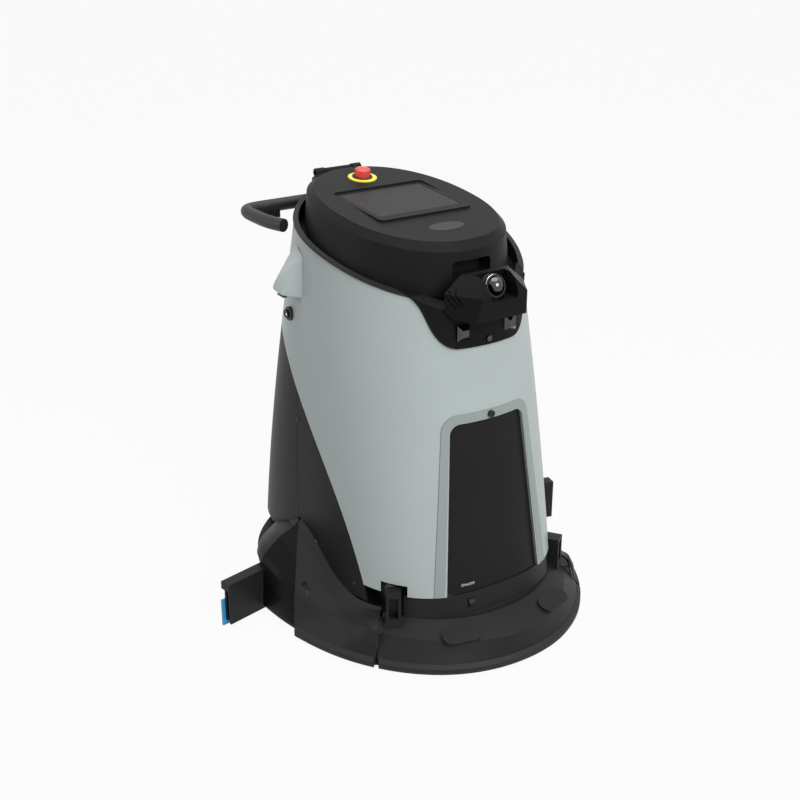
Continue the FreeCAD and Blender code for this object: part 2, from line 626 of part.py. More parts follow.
def lid():
    """Hollow lid with display opening, handle pocket and two hinge lugs."""
    shell = lid_form(0).cut(lid_form(LID_THICK))
    pocket = pocket_form(3.0).common(lid_form(0.5))
    shell = shell.fuse(pocket).cut(pocket_form(0))
    display = on_bezel(rounded_plate(BEZEL_WIDE + 2 * SEAT, BEZEL_DEEP + 2 * SEAT, 60, 12,
                                     Vector(0, 0, -25)))
    shell = shell.cut([display, on_lid(cylinder(STOP_COLLAR_R, 40, Vector(0, 0, -20)), STOP_Y),
                       on_lid(ellipse_plate(PATCH_LONG + 1, PATCH_WIDE + 1, 10), PATCH_Y, 2.0)])
    lugs = []
    for side in (-1, 1):
        x0 = side * LID_LUG_X - LID_LUG_WIDE / 2
        at = Vector(x0, LID_PIN_Y, LID_PIN_Z)
        eye = cylinder(LID_PIN_R + 6, LID_LUG_WIDE, at, Vector(1, 0, 0))
        arm = block(x0, x0 + LID_LUG_WIDE, LID_WALL_REAR - 4, LID_PIN_Y, LID_PIN_Z - 11, LID_PIN_Z)
        lugs.append(eye.fuse(arm))
    bore = cylinder(LID_PIN_R + RUNNING_CLEARANCE, 300, Vector(-150, LID_PIN_Y, LID_PIN_Z),
                    Vector(1, 0, 0))
    return largest(shell.fuse(lugs).cut(bore))


def ellipse_plate(long, wide, thick):
    outline = Part.Ellipse(Vector(0, 0, 0), long / 2, wide / 2).toShape()
    return Part.Face(Part.Wire(outline)).extrude(Vector(0, 0, thick))


def lid_patch():
    return on_lid(ellipse_plate(PATCH_LONG, PATCH_WIDE, 2.4), PATCH_Y, 2.0)


def screen_bezel():
    frame = rounded_plate(BEZEL_WIDE, BEZEL_DEEP, 18, 12, Vector(0, 0, -18))
    opening = rounded_plate(SCREEN_WIDE + 2 * SEAT, SCREEN_DEEP + 2 * SEAT, 30, 3,
                            Vector(0, SCREEN_MID_Y - BEZEL_Y, -4))
    return on_bezel(frame.cut(opening))


def touch_glass():
    return on_bezel(rounded_plate(SCREEN_WIDE, SCREEN_DEEP, 3.4, 3,
                                  Vector(0, SCREEN_MID_Y - BEZEL_Y, -4)))


def stop_ring():
    return on_lid(ring(STOP_RING_R, STOP_COLLAR_R + 2, STOP_RING_THICK, Vector(0, 0, 0)), STOP_Y)


def stop_base():
    body = cylinder(STOP_COLLAR_R - 0.5, 30, Vector(0, 0, -24))
    flange = cylinder(STOP_COLLAR_R + 1.5, 6, Vector(0, 0, 0))
    return on_lid(body.fuse(flange).cut(cylinder(6, 40, Vector(0, 0, -14))), STOP_Y)


def stop_head():
    """Red mushroom head on its stem; the gap above the collar is its travel."""
    low = 6 + STOP_TRAVEL + 0.5
    profile = [(0, -8), (5, -8), (5, low), (13, low), (STOP_HEAD_R, low + 3),
               (STOP_HEAD_R, low + STOP_HEAD_HIGH - 5), (STOP_HEAD_R - 4, low + STOP_HEAD_HIGH),
               (0, low + STOP_HEAD_HIGH)]
    wire = Part.makePolygon([Vector(r, 0, z) for r, z in profile] + [Vector(0, 0, -8)])
    return on_lid(Part.Face(wire).revolve(Vector(0, 0, 0), Vector(0, 0, 1), 360), STOP_Y)


BRACKET_HALF_WIDTH, BRACKET_REAR, BRACKET_LOW_Z, BRACKET_TOP_Z = 92.0, 334.0, 872.0, 1010.0


def handle_bracket():
    """Block on the rear of the shell that carries the hinge pin and the push handle."""
    profile = [(235, BRACKET_LOW_Z), (BRACKET_REAR, BRACKET_LOW_Z), (BRACKET_REAR, 996),
               (BRACKET_REAR - 14, BRACKET_TOP_Z), (LID_PIN_Y - 5, BRACKET_TOP_Z),
               (LID_PIN_Y - 11, LID_PIN_Z), (LID_PIN_Y - 11, 976), (235, 976)]
    body = prism([(-BRACKET_HALF_WIDTH, y, z) for y, z in profile],
                 Vector(2 * BRACKET_HALF_WIDTH, 0, 0))
    body = body.cut(housing(3.5 + SEAT))
    for side in (-1, 1):
        x = side * LID_LUG_X
        body = body.cut(block(x - LID_LUG_WIDE / 2 - 1, x + LID_LUG_WIDE / 2 + 1, 200,
                              LID_PIN_Y + 14, LID_PIN_Z - 16, 1100))
    return largest(body.cut(hinge_rod(0.02)))


def hinge_rod(grow):
    half = LID_LUG_X + LID_LUG_WIDE / 2 + 14
    return cylinder(LID_PIN_R + grow, 2 * half, Vector(-half, LID_PIN_Y, LID_PIN_Z), Vector(1, 0, 0))


def hinge_pin():
    return hinge_rod(0.0)


# ---------------------------------------------------------------- sensor pod and lidar
POD_PROUD = 8.5
POD_THICK = 14.0
SHELF_Y, SHELF_Z, SHELF_RISE = -352.0, 800.0, 0.6
GUARD_BASE_HALF_WIDTH, GUARD_FRONT_Y, GUARD_REAR_Y = 68.0, -392.0, -322.0
GUARD_LOW_Z, GUARD_BAND_Z, GUARD_TOP_Z = 806.0, 846.0, 898.0
LIDAR_Y, LIDAR_Z, LIDAR_R, LIDAR_TILT = -350.0, 868.0, 25.0, 20.0


def shelf_height(y):
    return SHELF_Z + (y - SHELF_Y) * SHELF_RISE


def pod_block(gap):
    wall = housing(POD_PROUD, 700.0, 960.0).cut(housing(-POD_THICK))
    return wall.common(pod_region(gap))


def sensor_pod():
    """Black chin under the lid: face with camera windows and a shelf for the lidar."""
    over = prism([(-FAR, SHELF_Y - 200, shelf_height(SHELF_Y - 200)), (-FAR, 0, shelf_height(0)),
                  (-FAR, 0, 1500), (-FAR, SHELF_Y - 200, 1500)], Vector(2 * FAR, 0, 0))
    body = pod_block(SEAM).cut([over, above_rim(4.0)])
    for x in (-DEPTH_CAMERA_X, DEPTH_CAMERA_X):
        body = body.cut(block(x - 17, x + 17, -420, SHELF_Y + 14, 752, 790))
    return largest(body.cut(cylinder(7, 60, Vector(0, -380, 749), Vector(0, 1, 0))))


DEPTH_CAMERA_X = 64.0


def depth_window():
    """Faceted window block of a depth camera (robot's right)."""
    x, y = -DEPTH_CAMERA_X, SHELF_Y + 14
    back = Part.makePolygon([Vector(x + dx, y, 771 + dz) for dx, dz in
                             ((-16, -18), (16, -18), (16, 18), (-16, 18), (-16, -18))])
    front = Part.makePolygon([Vector(x + dx, y - 10, 771 + dz) for dx, dz in
                              ((-8, -8), (8, -8), (8, 8), (-8, 8), (-8, -8))])
    return loft([back, front], ruled=True)


def pod_cameras():
    centre = cylinder(6.6, 22, Vector(0, -349, 749), Vector(0, 1, 0))
    return Part.makeCompound([depth_window(), mirrored(depth_window()), centre])


def lidar_guard():
    """Faceted bracket round the lidar: front band, two slanting cheeks and a back plate."""
    low = Part.makePolygon([Vector(x, y, GUARD_LOW_Z) for x, y in
                            ((-68, -388), (68, -388), (100, -322), (-100, -322), (-68, -388))])
    mid = Part.makePolygon([Vector(x, y, 862) for x, y in
                            ((-60, -398), (60, -398), (106, -322), (-106, -322), (-60, -398))])
    top = Part.makePolygon([Vector(x, y, 898) for x, y in
                            ((-34, -372), (34, -372), (62, -322), (-62, -322), (-34, -372))])
    body = loft([low, mid, top], ruled=True)
    window = prism([(-34, -FAR, 850), (34, -FAR, 850), (58, -FAR, 1000), (-58, -FAR, 1000)],
                   Vector(0, FAR - 338, 0))
    body = body.cut([window, shelf_block()])
    axis = Vector(0, -math.cos(math.radians(LIDAR_TILT)), math.sin(math.radians(LIDAR_TILT)))
    body = body.cut(cylinder(LIDAR_R + 4, 90, Vector(0, LIDAR_Y, LIDAR_Z) - axis * 6, axis))
    slots = []
    for step in range(3):
        slot = block(-160, -60, -352 + step * 9, -349 + step * 9, 832, 872)
        slots.append(tilted(slot, -38, Vector(0, -340, 850)))
    return largest(body.cut(slots))


def shelf_block():
    """The space that the pod's shelf takes up, with the seat clearance."""
    over = prism([(-FAR, -600, shelf_height(-600) + SEAT), (-FAR, 0, shelf_height(0) + SEAT),
                  (-FAR, 0, 0), (-FAR, -600, 0)], Vector(2 * FAR, 0, 0))
    return over


def lidar_base():
    """Barrel of the lidar, leaning back into the guard."""
    axis = Vector(0, -math.cos(math.radians(LIDAR_TILT)), math.sin(math.radians(LIDAR_TILT)))
    at = Vector(0, LIDAR_Y, LIDAR_Z) - axis * 5.5
    barrel = cylinder(LIDAR_R, 22, at, axis).fuse(cylinder(LIDAR_R + 3.7, 8, at, axis))
    return barrel.cut(cylinder(LIDAR_R - 3, 10, at + axis * 16, axis))


def lidar_dome():
    axis = Vector(0, -math.cos(math.radians(LIDAR_TILT)), math.sin(math.radians(LIDAR_TILT)))
    at = Vector(0, LIDAR_Y, LIDAR_Z) + axis * 10.6
    return Part.makeSphere(LIDAR_R - 3.5, at, axis, 0, 90, 360)


# ---------------------------------------------------------------- fittings on the housing
def camera_hood():
    """Wedge-shaped hoods of the side camera (robot's right)."""
    stations = [(32, (-236, 876), (-272, 812), (-250, 772)), (66, (-232, 892), (-311, 814), (-250, 762)),
                (84, (-232, 892), (-309, 814), (-250, 766)), (104, (-230, 884), (-270, 816), (-250, 776))]
    wires = []
    for y, *corners in stations:
        points = [Vector(x, y, z) for x, z in corners]
        wires.append(Part.makePolygon(points + [points[0]]))
    return largest(loft(wires, ruled=True).cut(housing(SEAT + 0.2)))


def side_sensors():
    right = cylinder(10, 24, Vector(-264, 98, 727), Vector(1, 0, 0)).cut(housing(SEAT))
    right = right.cut(cylinder(6, 3, Vector(-265, 98, 727), Vector(1, 0, 0)))
    return Part.makeCompound([right, mirrored(right)])


def cover_screws():
    heads = []
    for y, z in ((28, 484), (-209, 149)):
        head = cylinder(4.5, 60, Vector(-300, y, z), Vector(1, 0, 0))
        head = head.common(housing(2.0)).cut(housing(SEAT))
        heads += [largest(head), mirrored(largest(head))]
    return Part.makeCompound(heads)


def power_rocker():
    """Rocker switch low on the apron, under the front panel."""
    x, y, z = ROCKER
    body = cylinder(9.0, 14, Vector(x - 7, y, z), Vector(1, 0, 0))
    pin = cylinder(2.0, 20, Vector(x - 10, y, z), Vector(1, 0, 0))
    return body.cut(block(x - 20, x + 20, y + 4, y + 30, z - 20, z + 20)).fuse(pin)


ROCKER = (-75.0, -401.0, 130.0)
LOCK_Z, LOCK_R = 574.0, 8.0


def lock_cylinder(radius):
    return cylinder(radius, 26, Vector(0, -366, LOCK_Z), Vector(0, 1, 0))


def panel_lock():
    """Quarter-turn lock in the shell above the front panel."""
    return lock_cylinder(LOCK_R).cut(block(-1.2, 1.2, -370, -363.5, LOCK_Z - 5, LOCK_Z + 5))


FILL_X, FILL_Z, FILL_NECK_R, FILL_BORE_R = -100.0, 470.0, 28.0, 20.0
FILL_FACE_Y, FILL_LONG = 332.0, 44.0
PIPE_X, PIPE_Y, PIPE_R, PIPE_WALL = 70.0, 292.0, 19.0, 3.0


def fill_bore(radius):
    return cylinder(radius, FILL_LONG, Vector(FILL_X, FILL_FACE_Y - FILL_LONG, FILL_Z), Vector(0, 1, 0))


def water_fill_port():
    return fill_bore(FILL_NECK_R).cut(fill_bore(FILL_BORE_R))


CHARGE_HALF_WIDTH, CHARGE_LOW_Z, CHARGE_HIGH, CHARGE_FACE_Y = 50.0, 250.0, 60.0, 374.0


def charge_plate():
    plate = block(-CHARGE_HALF_WIDTH, CHARGE_HALF_WIDTH, 330, CHARGE_FACE_Y, CHARGE_LOW_Z,
                  CHARGE_LOW_Z + CHARGE_HIGH)
    return largest(plate.cut(housing(SEAT)))


# ---------------------------------------------------------------- push handle
def bent_rod(points, arc_radius, radius):
    """Round rod along straight runs that are joined by tangent arcs of one radius."""
    pieces, start = [], points[0]
    for before, corner, after in zip(points, points[1:], points[2:]):
        back, ahead = (before - corner).normalize(), (after - corner).normalize()
        half = back.getAngle(ahead) / 2
        enter = corner + back * (arc_radius / math.tan(half))
        centre = corner + (back + ahead).normalize() * (arc_radius / math.sin(half))
        turn = 180 - 2 * math.degrees(half)
        pieces.append(cylinder(radius, (enter - start).Length, start, enter - start))
        section = Part.Face(Part.Wire(Part.Circle(enter, back, radius).toShape()))
        pieces.append(section.revolve(centre, (back * -1).cross(ahead), turn))
        start = corner + ahead * (arc_radius / math.tan(half))
    pieces.append(cylinder(radius, (points[-1] - start).Length, start, points[-1] - start))
    return pieces[0].fuse(pieces[1:])


def handle_tube():
    """Open-ended push bar on a short stem behind the housing."""
    side = HANDLE_HALF_WIDTH + HANDLE_TUBE_R
    half = [Vector(HANDLE_END[0], HANDLE_END[1], HANDLE_Z), Vector(side, 330, HANDLE_Z),
            Vector(side, HANDLE_REAR_Y, HANDLE_Z)]
    points = half + [Vector(-p.x, p.y, p.z) for p in reversed(half)]
    bar = bent_rod(points, HANDLE_CORNER_R, HANDLE_TUBE_R)
    for end in (points[0], points[-1]):
        bar = bar.fuse(Part.makeSphere(HANDLE_TUBE_R, end))
    stem = block(-26, 26, BRACKET_REAR, HANDLE_REAR_Y, HANDLE_Z - 11, HANDLE_Z + 11)
    return bar.fuse(stem)


def handle_switch():
    body = block(-160, -100, HANDLE_REAR_Y - 26, HANDLE_REAR_Y + 4, HANDLE_Z - 30, HANDLE_Z - 2)
    grooves = [block(-154 + 8 * i, -151 + 8 * i, HANDLE_REAR_Y - 27, HANDLE_REAR_Y - 23,
                     HANDLE_Z - 40, HANDLE_Z) for i in range(7)]
    bar = cylinder(HANDLE_TUBE_R + SEAT, 200, Vector(-220, HANDLE_REAR_Y, HANDLE_Z), Vector(1, 0, 0))
    return largest(body.cut(grooves + [bar]))


# ---------------------------------------------------------------- drive, casters, brushes
def drive_tyre():
    at = Vector(-WHEEL_X - WHEEL_WIDE / 2, WHEEL_Y, WHEEL_R)
    tyre = ring(WHEEL_R, WHEEL_R - TYRE_DEEP, WHEEL_WIDE, at, Vector(1, 0, 0))
    tyre = round_edges(tyre, 4.0, lambda e: abs(e.BoundBox.ZMax - 2 * WHEEL_R) < 0.1
                       and e.BoundBox.XLength < 0.1)
    return tyre


def drive_hub():
    x0, at = -WHEEL_X - WHEEL_WIDE / 2, Vector(0, WHEEL_Y, WHEEL_R)
    rim = WHEEL_R - TYRE_DEEP
    profile = [(AXLE_R + RUNNING_CLEARANCE, 8), (26, 8), (26, 14), (rim - 12, 14), (rim - 8, 3),
               (rim, 3), (rim, WHEEL_WIDE - 3), (rim - 8, WHEEL_WIDE - 3), (rim - 10, 24), (26, 24),
               (26, WHEEL_WIDE - 2), (AXLE_R + RUNNING_CLEARANCE, WHEEL_WIDE - 2)]
    points = [Vector(x0 + x, WHEEL_Y + r, WHEEL_R) for r, x in profile]
    hub = Part.Face(Part.makePolygon(points + [points[0]])).revolve(at, Vector(1, 0, 0), 360)
    holes = []
    for step in range(5):
        hole = cylinder(9, 60, Vector(x0 - 5, WHEEL_Y + 44, WHEEL_R), Vector(1, 0, 0))
        hole.rotate(at, Vector(1, 0, 0), 72 * step)
        holes.append(hole)
    return hub.cut(holes)


def drive_motor():
    """Gear motor with its axle and hanger plate under the chassis (robot's right)."""
    at = Vector(-WHEEL_X - WHEEL_WIDE / 2 + 4, WHEEL_Y, WHEEL_R)
    inner = WHEEL_X - WHEEL_WIDE / 2
    axle = cylinder(AXLE_R, 60, at, Vector(1, 0, 0))
    gearbox = cylinder(48, 34, Vector(-inner + 6, WHEEL_Y, WHEEL_R), Vector(1, 0, 0))
    motor = cylinder(36, 110, Vector(-inner + 38, WHEEL_Y, WHEEL_R), Vector(1, 0, 0))
    hanger = block(-inner + 20, -inner + 32, WHEEL_Y - 40, WHEEL_Y + 40, WHEEL_R - 30, CHASSIS_Z)
    return axle.fuse([gearbox, motor, hanger])


def caster_fork(place):
    x, y = CASTERS[place]
    top = 2 * CASTER_R + 4
    wheel_y = y + CASTER_TRAIL
    plate = cylinder(21, 5, Vector(x, y, top)).fuse(block(x - 16, x + 16, y, wheel_y + 8, top, top + 5))
    fork = plate.fuse(cylinder(CASTER_STEM_R, CHASSIS_Z - 30 - top, Vector(x, y, top)))
    for side in (-1, 1):
        x0 = x + side * (CASTER_WIDE / 2 + 2.8) - 1.5
        leg = block(x0, x0 + 3, wheel_y - 9, wheel_y + 8, CASTER_R - 9, top + 2)
        fork = fork.fuse(leg)
    axle = cylinder(CASTER_AXLE_R, CASTER_WIDE + 8, Vector(x - CASTER_WIDE / 2 - 4, wheel_y, CASTER_R),
                    Vector(1, 0, 0))
    return fork.fuse(axle)


def caster_wheel(place):
    x, y = CASTERS[place]
    at = Vector(x - CASTER_WIDE / 2, y + CASTER_TRAIL, CASTER_R)
    wheel = ring(CASTER_R, CASTER_AXLE_R + RUNNING_CLEARANCE, CASTER_WIDE, at, Vector(1, 0, 0))
    return round_edges(wheel, 3.0, lambda e: abs(e.BoundBox.ZMax - 2 * CASTER_R) < 0.1
                       and e.BoundBox.XLength < 0.1)


def caster_leg(place):
    """Socket tube that carries a caster under the chassis plate."""
    x, y = CASTERS[place]
    low = 2 * CASTER_R + 14
    leg = ring(CASTER_STEM_R + 9, CASTER_STEM_R + RUNNING_CLEARANCE, CHASSIS_Z - low - 26,
               Vector(x, y, low))
    cap = cylinder(CASTER_STEM_R + 9, 26, Vector(x, y, CHASSIS_Z - 26))
    return leg.fuse(cap)


BRISTLE_HIGH, BRUSH_BLOCK_HIGH, BRUSH_SHAFT_R = 36.0, 14.0, 8.0


def brush_levels():
    low = BRUSH_LIFT + 1.0
    return low, low + BRISTLE_HIGH, low + BRISTLE_HIGH + BRUSH_BLOCK_HIGH


def disc_brush(side):
    low, block_z, top = brush_levels()
    at = Vector(side * BRUSH_X, BRUSH_Y, 0)
    disc = cylinder(BRUSH_R - 14, top - block_z, at + Vector(0, 0, block_z))
    hub = cylinder(30, DECK_Z - top - 2, at + Vector(0, 0, top))
    bore = cylinder(BRUSH_SHAFT_R + RUNNING_CLEARANCE, 100, at + Vector(0, 0, block_z + 2))
    return disc.fuse(hub).cut(bore)


def brush_bristles(side):
    low, block_z, top = brush_levels()
    at = Vector(side * BRUSH_X, BRUSH_Y, 0)
    flare = Part.makeCone(BRUSH_R, BRUSH_R - 18, block_z - low, at + Vector(0, 0, low))
    hollow = Part.makeCone(52, 58, block_z - low, at + Vector(0, 0, low))
    return flare.cut(hollow)


def brush_deck():
    """Pressed plate over both brushes; it rides up and down on two guide rods."""
    discs = [cylinder(DECK_R, 6, Vector(side * BRUSH_X, BRUSH_Y, DECK_Z)) for side in (-1, 1)]
    plate = discs[0].fuse([discs[1], block(-BRUSH_X, BRUSH_X, BRUSH_Y - 60, GUIDE_Y + 20, DECK_Z,
                                           DECK_Z + 6)])
    plate = plate.cut([cylinder(BRUSH_SHAFT_R + 2, 20, Vector(side * BRUSH_X, BRUSH_Y, DECK_Z - 5))
                       for side in (-1, 1)])
    sleeves = [ring(16, GUIDE_R + RUNNING_CLEARANCE, 40, Vector(x, GUIDE_Y, DECK_Z))
               for x in (-GUIDE_X, GUIDE_X)]
    holes = [cylinder(GUIDE_R + RUNNING_CLEARANCE, 20, Vector(x, GUIDE_Y, DECK_Z - 5))
             for x in (-GUIDE_X, GUIDE_X)]
    return plate.cut(holes).fuse(sleeves)


GUIDE_X, GUIDE_Y, GUIDE_R = 50.0, -30.0, 8.0
DECK_R = 118.0


def deck_guides():
    rods = []
    for x in (-GUIDE_X, GUIDE_X):
        rod = cylinder(GUIDE_R, CHASSIS_Z - 60, Vector(x, GUIDE_Y, 60))
        rods.append(rod.fuse(cylinder(18, 8, Vector(x, GUIDE_Y, CHASSIS_Z - 8))))
    return rods


def brush_motor(side):
    at = Vector(side * BRUSH_X, BRUSH_Y, DECK_Z + 6)
    can = cylinder(42, 88, at).fuse(cylinder(52, 14, at))
    shaft = cylinder(BRUSH_SHAFT_R, 32, at - Vector(0, 0, 31))
    return can.fuse(shaft)


# ---------------------------------------------------------------- squeegee
def squeegee_curve(inset, low, high):
    """Solid inside the squeegee's rear face, moved in by an inset."""
    return loft([oval(SQUEEGEE_HALF_WIDTH - inset, 100, SQUEEGEE_REAR - inset, SQUEEGEE_JOIN_Y, z,
                      2.0, BASE_REAR_EXPONENT) for z in (low, high)])


def squeegee_wings(outer, inner, low, high, past=0.0):
    """The two straight outer ends between two insets from their rear face, past is extra length."""
    root, join = SQUEEGEE_HALF_WIDTH, SQUEEGEE_JOIN_Y
    angle = math.atan2(join - SQUEEGEE_TIP_Y, SQUEEGEE_TIP_X - root)
    c, s = math.cos(angle), math.sin(angle)
    wings = []
    for side in (-1, 1):
        ends = [(SQUEEGEE_TIP_X - s * i + c * past, SQUEEGEE_TIP_Y - c * i - s * past)
                for i in (inner, outer)]
        turns = [(root - i, join - i * (1 - s) / c) for i in (outer, inner)]
        corners = [turns[0], (root - outer, join + 1), (root - inner, join + 1), turns[1]] + ends
        wings.append(prism([(side * x, y, low) for x, y in corners], Vector(0, 0, high - low)))
    return wings


def squeegee_strip(outer, inner, low, high, past=0.0):
    """Part of the squeegee between two insets from its rear face: the arc and both wings."""
    arc = squeegee_curve(outer, low, high).cut(squeegee_curve(inner, low - 5, high + 5))
    arc = arc.common(block(-FAR, FAR, SQUEEGEE_JOIN_Y, FAR, low, high))
    return arc.fuse(squeegee_wings(outer, inner, low, high, past))


def squeegee_bar():
    """Top rail of the squeegee with its downward flange and the front plates of its wings."""
    low = SQUEEGEE_TOP_Z - SQUEEGEE_BAR_HIGH
    rail = squeegee_strip(0, SQUEEGEE_BAR_DEEP, low, SQUEEGEE_TOP_Z)
    beside_wheels = block(-FAR, FAR, SQUEEGEE_JOIN_Y + 2, SQUEEGEE_SLIM_TO_Y, low - 1, FAR)
    rail = rail.cut(squeegee_curve(SQUEEGEE_SLIM_DEEP, low - 1, FAR).common(beside_wheels))
    flange = squeegee_strip(SQUEEGEE_SLIM_DEEP - 6, SQUEEGEE_SLIM_DEEP, 16, low)
    wings = squeegee_wings(SQUEEGEE_BAR_DEEP - 1, SQUEEGEE_WING_DEEP, low, SQUEEGEE_TOP_Z)
    plates = squeegee_wings(SQUEEGEE_WING_DEEP - 6, SQUEEGEE_WING_DEEP, 9, low)
    return rail.fuse([flange] + wings + plates)


def squeegee_blade():
    return largest(squeegee_strip(6, 11.7, 2, 72, 8.0).cut(squeegee_bar()))


SLIDE_X, SLIDE_Y, SLIDE_R = 30.0, 298.0, 8.0
SLIDE_LOW_Z = 68.0


def squeegee_rods():
    rods = []
    for x in (-SLIDE_X, SLIDE_X):
        rod = cylinder(SLIDE_R, CHASSIS_Z - SLIDE_LOW_Z, Vector(x, SLIDE_Y, SLIDE_LOW_Z))
        rods.append(rod.fuse(cylinder(15, 8, Vector(x, SLIDE_Y, CHASSIS_Z - 8))))
    return rods


def squeegee_arm():
    """Carriage on the two rods with the beam that holds the squeegee bar."""
    low, high = SLIDE_LOW_Z + 4, SQUEEGEE_TOP_Z + 30
    body = block(-SLIDE_X - 13, SLIDE_X + 13, SLIDE_Y - 13, SLIDE_Y + 13, low, high)
    body = body.fuse(block(-20, 20, SLIDE_Y, SQUEEGEE_REAR - SQUEEGEE_BAR_DEEP + 12,
                           SQUEEGEE_TOP_Z, SQUEEGEE_TOP_Z + 14))
    return body.cut([cylinder(SLIDE_R + RUNNING_CLEARANCE, 200, Vector(x, SLIDE_Y, 20))
                     for x in (-SLIDE_X, SLIDE_X)])


def suction_pipe_lower():
    """Elbow from the squeegee bar into the telescoping suction pipe."""
    z = SQUEEGEE_TOP_Z + PIPE_R
    points = [Vector(PIPE_X, SQUEEGEE_REAR - 24, z), Vector(PIPE_X, PIPE_Y, z),
              Vector(PIPE_X, PIPE_Y, 300)]
    past = [points[0] + Vector(0, 1, 0), points[1], points[2] + Vector(0, 0, 1)]
    return bent_rod(points, 30, PIPE_R).cut(bent_rod(past, 30, PIPE_R - PIPE_WALL))


def suction_pipe_upper():
    low = CHASSIS_Z - 20
    return ring(PIPE_R + RUNNING_CLEARANCE + PIPE_WALL, PIPE_R + RUNNING_CLEARANCE,
                TANK_BOTTOM_Z - low, Vector(PIPE_X, PIPE_Y, low))


# ---------------------------------------------------------------- inside the housing
def chassis_plate():
    slab = block(-FAR, FAR, -FAR, FAR, CHASSIS_Z, CHASSIS_Z + CHASSIS_THICK)
    plate = housing(-SKIN - SEAT).common(slab)
    backing = panel_region(-SEAT, 22).cut(housing(-PANEL_DEPTH - SEAT))
    pipe = cylinder(PIPE_R + PIPE_WALL + 1, 40, Vector(PIPE_X, PIPE_Y, CHASSIS_Z - 10))
    return largest(plate.cut([backing, pipe]))


def chassis():
    """Floor plate with the caster sockets and the guide rods of brush deck and squeegee."""
    return chassis_plate().fuse([caster_leg(place) for place in CASTERS] + deck_guides()
                                + squeegee_rods())


def solution_tank():
    """Clean-water tank in the front half of the housing, standing on the chassis."""
    low = CHASSIS_Z + CHASSIS_THICK
    front = block(-FAR, FAR, -FAR, 40, 0, 1000)
    outside = housing(-TANK_INSET, low, TANK_BOTTOM_Z).common(front)
    front.translate(Vector(0, -SKIN, 0))
    inside = housing(-TANK_INSET - SKIN, low + SKIN, TANK_BOTTOM_Z - SKIN).common(front)
    return outside.cut(inside)


def battery():
    return block(-150, 150, 60, 200, CHASSIS_Z + CHASSIS_THICK, 400)


def electronics_box():
    return block(-130, 30, 212, 268, CHASSIS_Z + CHASSIS_THICK, 420)


def vacuum_motor():
    body = cylinder(58, TANK_BOTTOM_Z - 400, Vector(0, 130, 400))
    return body.cut([ring(70, 52, 5, Vector(0, 130, 420 + 14 * i)) for i in range(5)])


def both_sides(shape):
    return Part.makeCompound([shape, mirrored(shape)])


def pair(name, shape):
    parts[name + "_right"] = shape
    parts[name + "_left"] = mirrored(shape)


parts["chassis"] = chassis()
parts["front_shell"] = front_shell()
parts["rear_cover"] = rear_cover()
parts["side_panels"] = both_sides(side_panel())
parts["front_panel"] = front_panel()
parts["panel_lock"] = panel_lock()
parts["rim_gutter"] = rim_gutter()
parts["recovery_tank"] = recovery_tank()
parts["solution_tank"] = solution_tank()
parts["battery"] = battery()
parts["electronics_box"] = electronics_box()
parts["vacuum_motor"] = vacuum_motor()
parts["sensor_pod"] = sensor_pod()
parts["lidar_guard"] = lidar_guard()
parts["lidar_base"] = lidar_base()
parts["lidar_dome"] = lidar_dome()
parts["pod_cameras"] = pod_cameras()
parts["camera_hoods"] = both_sides(camera_hood())
parts["side_sensors"] = side_sensors()
parts["cover_screws"] = cover_screws()
parts["water_fill_port"] = water_fill_port()
parts["charge_plate"] = charge_plate()
parts["side_fairings"] = both_sides(side_fairing())
parts["front_apron"] = front_apron()
parts["power_rocker"] = power_rocker()
parts["front_bumper"] = front_bumper()
parts["bumper_strip"] = bumper_strip()
parts["side_strips"] = both_sides(side_strip())
parts["bumper_posts"] = bumper_posts()
parts["bumper_pads"] = bumper_pads()
parts["lid"] = lid()
parts["lid_patch"] = lid_patch()
parts["screen_bezel"] = screen_bezel()
parts["touch_glass"] = touch_glass()
parts["stop_ring"] = stop_ring()
parts["stop_base"] = stop_base()
parts["stop_head"] = stop_head()
parts["handle_bracket"] = handle_bracket().fuse(hinge_pin())
parts["handle_tube"] = handle_tube()
parts["handle_switch"] = handle_switch()
pair("drive_tyre", drive_tyre())
pair("drive_hub", drive_hub())
parts["drive_motors"] = both_sides(drive_motor())
for place in CASTERS:
    parts["caster_fork_" + place] = caster_fork(place)
    parts["caster_wheel_" + place] = caster_wheel(place)
parts["brush_deck"] = brush_deck()
parts["brush_motors"] = both_sides(brush_motor(-1))
for side, word in ((-1, "right"), (1, "left")):
    parts["disc_brush_" + word] = disc_brush(side)
    parts["bristles_" + word] = brush_bristles(side)
parts["squeegee_bar"] = squeegee_bar()
parts["squeegee_blade"] = squeegee_blade()
parts["squeegee_arm"] = squeegee_arm()
parts["suction_pipe_lower"] = suction_pipe_lower()
parts["suction_pipe_upper"] = suction_pipe_upper()

os.makedirs("parts", exist_ok=True)
for name, shape in parts.items():
    shape.exportStep("parts/" + name + ".step")
    print(name, len(shape.Solids), round(shape.Volume / 1000, 1), shape.isValid())
print(len(parts), "nodes")
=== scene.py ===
"""Looks of a floor-scrubbing mobile robot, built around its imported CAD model.

Metres, +Z up. The robot faces -Y and its own right hand is -X.
"""
import bmesh
import bpy
import json
import math
from mathutils import Matrix, Vector
from mathutils.bvhtree import BVHTree


